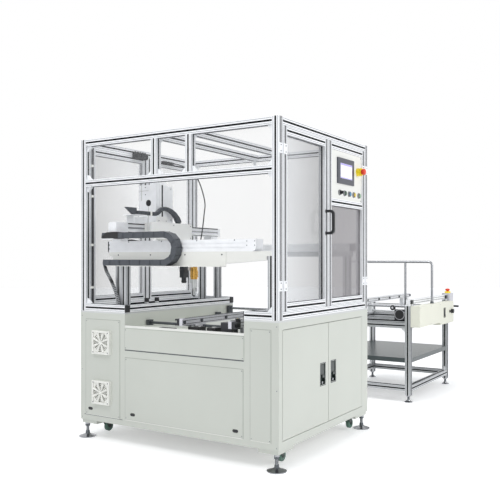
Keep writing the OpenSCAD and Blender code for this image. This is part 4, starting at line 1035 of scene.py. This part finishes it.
def gussets():
    s = Shape()
    for x, toward in ((BAR, 1), (FAR_X, -1)):
        for y in (BAR / 2, FAR_Y + BAR / 2):
            gusset(s, (x, y, ROOF), (toward, 0, 0), DOWN, 1)
        for y, inward in ((BAR, 1), (FAR_Y, -1)):
            gusset(s, (x - toward * BAR / 2, y, ROOF), (0, inward, 0), DOWN, 0)
            gusset(s, (x - toward * BAR / 2, y, DECK + BAR), (0, inward, 0), UP, 0)
    for y, inward in ((BAR, 1), (FAR_Y, -1)):
        gusset(s, (BAR / 2, y, MID), (0, inward, 0), DOWN, 0)
        gusset(s, (BAR / 2, y, MID + BAR), (0, inward, 0), UP, 0)
    for y in STRUTS:
        gusset(s, (BAR, y + BAR / 2, ROOF), (1, 0, 0), DOWN, 1)
        gusset(s, (FAR_X, y + BAR / 2, ROOF), LEFT, DOWN, 1)
        for side, inward in ((y, -1), (y + BAR, 1)):
            gusset(s, (BAR / 2, side, MID + BAR), (0, inward, 0), UP, 0)
    for x, toward in ((100, 1), (980, -1)):
        for y in (110, 1050):
            gusset(s, (x, y, DECK), (toward, 0, 0), UP, 1)
    s.done("profile_gussets", "machine", "module", 0.8)


PORT_STEP = 23
REGULATOR_Y = 1112


def air_parts():
    black = Shape()
    black.block((404, 1286, 1690), (524, 1309.8, 1724))
    for i in range(5):
        x = 410 + i * PORT_STEP
        black.block((x, 1276, 1694), (x + 17, 1286, 1716))
        black.rod((x + 8, 1296, 1724), (x + 8, 1296, 1736), 5, sides=16)
    black.block((690, 1290, 1694), (806, 1309.6, 1706))
    for x in (706, 736, 766):
        black.rod((x, 1290, 1700), (x, 1278, 1700), 5.5, sides=16)
    black.done("valve_island", "machine", "slot", 0.6)
    silver = Shape()
    knobs = Shape()
    y = REGULATOR_Y
    for x in (313, 409):
        silver.block((x - 17, y - 16, DECK), (x + 17, y + 16, 776))
        silver.rod((x, y, 776), (x, y, 786), 12, sides=28)
        knobs.rod((x, y, 786), (x, y, 810), 15, 13.5, 28)
        knobs.rod((x - 17.2, y, 762), (x - 26, y, 762), 7, sides=20)
    silver.done("regulator_bodies", "machine", "module", 0.8)
    knobs.done("regulator_knobs", "machine", "black", 0.6)


def post_cable():
    s = Shape()
    s.tube([(47, 1304, 790), (47, 1304, 1200), (48, 1304, 1600), (50, 1304, 1700)], 4.2, 12)
    s.done("post_cable", "machine", "rubber")
    clips = Shape()
    for z in (880, 1131, 1420, 1600):
        clips.block((40.2, 1298, z - 7), (53, 1309.8, z + 7))
    clips.done("post_cable_clips", "machine", "white_plastic", 0.8)


gussets()
air_parts()
post_cable()


# Outfeed table
class TableShape(Shape):
    """A shape drawn in the table's own millimetres."""

    def done(self, name, body, look, edge=0.0, smooth=True):
        bmesh.ops.translate(self.bm, verts=self.bm.verts, vec=(TABLE_X, TABLE_Y, 0))
        return super().done(name, body, look, edge, smooth)


def table_conveyor_details():
    for body, x0, x1, belt_y, face, toward in (("machine", -6, 885, 8, 15, 1),
                                               ("table_rail_sliding", 22, 1006, 348, 340, -1)):
        belt = TableShape()
        belt.block((x0 + 0.5, belt_y - BELT_HALF, 747.3), (x1 - 0.5, belt_y + BELT_HALF, 749.7))
        low = -15.4 if toward > 0 else 339.6
        belt.block((x0, low, 722), (x1, low + 1, 724.6))
        belt.block((x0, low, 738), (x1, low + 1, 740.6))
        belt.done(body + "_table_belt", body, "black", smooth=False)
        wheels = TableShape()
        for x in (x0 + 18, x0 + 250, x0 + 480, x0 + 700, x1 - 18):
            wheels.rod((x, face + 0.2 * toward, 733), (x, face + 8 * toward, 733), 9.5, sides=28)
            wheels.rod((x, face + 8 * toward, 733), (x, face + 9.6 * toward, 733), 4, sides=6)
        wheels.done(body + "_table_pulleys", body, "dark_steel", 0.3)
        blocks = TableShape()
        back = face - 30 * toward
        for x in (x0 + 4, x1 - 44):
            blocks.block((x, back, 718), (x + 36, back - 12 * toward, 747))
        blocks.done(body + "_table_bearing_blocks", body, "motor", 0.8)


MOTOR_Y, MOTOR_Z = 60, 640
SOCKET_Z = 622


def table_motor_details():
    dark = TableShape()
    dark.rod((-20, MOTOR_Y, MOTOR_Z), (-27, MOTOR_Y, MOTOR_Z), 37, 33, 40)
    dark.rod((-14, 118, 688), (6, 118, 688), 19, 17, 32)
    dark.block((-12, 100, 676), (4, 136, 690))
    for y in (30, 90):
        for z in (608, 668):
            dark.rod((-20, y, z), (-23, y, z), 5, sides=6)
    dark.done("table_motor_cover", "machine", "black", 1.0)
    band = TableShape()
    band.rod((-22.5, MOTOR_Y, MOTOR_Z), (-24.5, MOTOR_Y, MOTOR_Z), 37.6, 37.6, 40)
    band.block((-21.2, 22, 655), (-20.1, 98, 660))
    band.rod((-14.4, 118, 688), (-15.6, 118, 688), 8, sides=24)
    band.done("table_motor_band", "machine", "rail", 0.3)


def table_box_details():
    screws = TableShape()
    for x in (8, 250, 475):
        for z in (562, 692):
            screws.screw((x, -90, z), FRONT, 2.6, 1.2)
    for x in (512, 846):
        for z in (541, 690):
            screws.screw((x, -82, z), FRONT, 2.6, 1.2)
    screws.done("control_box_screws", "machine", "steel")
    frame_ring = TableShape()
    flat_ring(frame_ring, 1, -84.4, 2.5, (590, 581), (632, 659), 5)
    frame_ring.done("table_switch_frame", "machine", "black", 0.6)
    rings = TableShape()
    rings.rod((800, -82, SOCKET_Z), (800, -84, SOCKET_Z), 19.5, 18.5, 36)
    rings.rod((752, -82, SOCKET_Z), (752, -84, SOCKET_Z), 12, 11.4, 36)
    rings.rod((752, -84, SOCKET_Z), (752, -93, SOCKET_Z), 9, 8, 28)
    rings.done("table_socket_rings", "machine", "black", 0.3)
    seam = TableShape()
    seam.block((495.4, -88, 552), (496.6, -22, 702))
    seam.block((4, -88.6, 690), (496, -88, 692))
    seam.done("control_box_seam", "machine", "slot", smooth=False)


def table_joint_details():
    s = TableShape()
    for y in (0, TABLE_W):
        for x, toward in ((20, 1), (TABLE_L - 20, -1)):
            gusset(s, (x, y, 540), (toward, 0, 0), DOWN, 1)
            gusset(s, (x, y, 120), (toward, 0, 0), UP, 1)
    for x in (0, TABLE_L):
        for y, toward in ((20, 1), (TABLE_W - 20, -1)):
            gusset(s, (x, y, 540), (0, toward, 0), DOWN, 0)
    s.done("table_gussets", "machine", "module", 0.8)
    caps = TableShape()
    for x in (0, TABLE_L):
        caps.block((x - 19, TABLE_W - 19, TABLE_H), (x + 19, TABLE_W + 19, TABLE_H + 3))
    caps.done("table_leg_caps", "machine", "black", 0.6)
    clamps = TableShape()
    for y in (-50, TABLE_W):
        clamps.rod((391, y, TABLE_H + 0.5), (391, y, TABLE_H + 16), 14, 13, 32)
    clamps.done("portal_clamps", "machine", "dark_steel", 0.5)


table_conveyor_details()
table_motor_details()
table_box_details()
table_joint_details()


# Floor
floor_shape = bpy.data.meshes.new("floor")
floor_bm = bmesh.new()
bmesh.ops.create_circle(floor_bm, cap_ends=True, segments=96, radius=22)
floor_bm.to_mesh(floor_shape)
floor_bm.free()
floor = bpy.data.objects.new("floor", floor_shape)
floor.location = (1.0, 0.6, 0)
bpy.context.scene.collection.objects.link(floor)
floor_look = bpy.data.materials.new("floor_white")
floor_look.use_nodes = True
tree = floor_look.node_tree
link = tree.links.new
shader = tree.nodes["Principled BSDF"]
shader.inputs["Base Color"].default_value = (0.9, 0.9, 0.9, 1)
shader.inputs["Roughness"].default_value = 0.6
shader.inputs["Specular IOR Level"].default_value = 0.1
place = tree.nodes.new("ShaderNodeTexCoord")
reach = node_of(tree, "ShaderNodeVectorMath", operation="LENGTH")
link(place.outputs["Object"], reach.inputs[0])
lift = node_of(tree, "ShaderNodeEmission", Color=(1, 1, 1, 1))
grow = spread(tree, reach.outputs["Value"], 0.36, 0.47, 1.2, 7.0)
scale = node_of(tree, "ShaderNodeMath", operation="MULTIPLY")
link(grow, scale.inputs[0])
link(path_ray(tree), scale.inputs[1])
link(scale.outputs[0], lift.inputs["Strength"])
both = node_of(tree, "ShaderNodeAddShader")
link(shader.outputs[0], both.inputs[0])
link(lift.outputs[0], both.inputs[1])
link(both.outputs[0], tree.nodes["Material Output"].inputs["Surface"])
floor_shape.materials.append(floor_look)
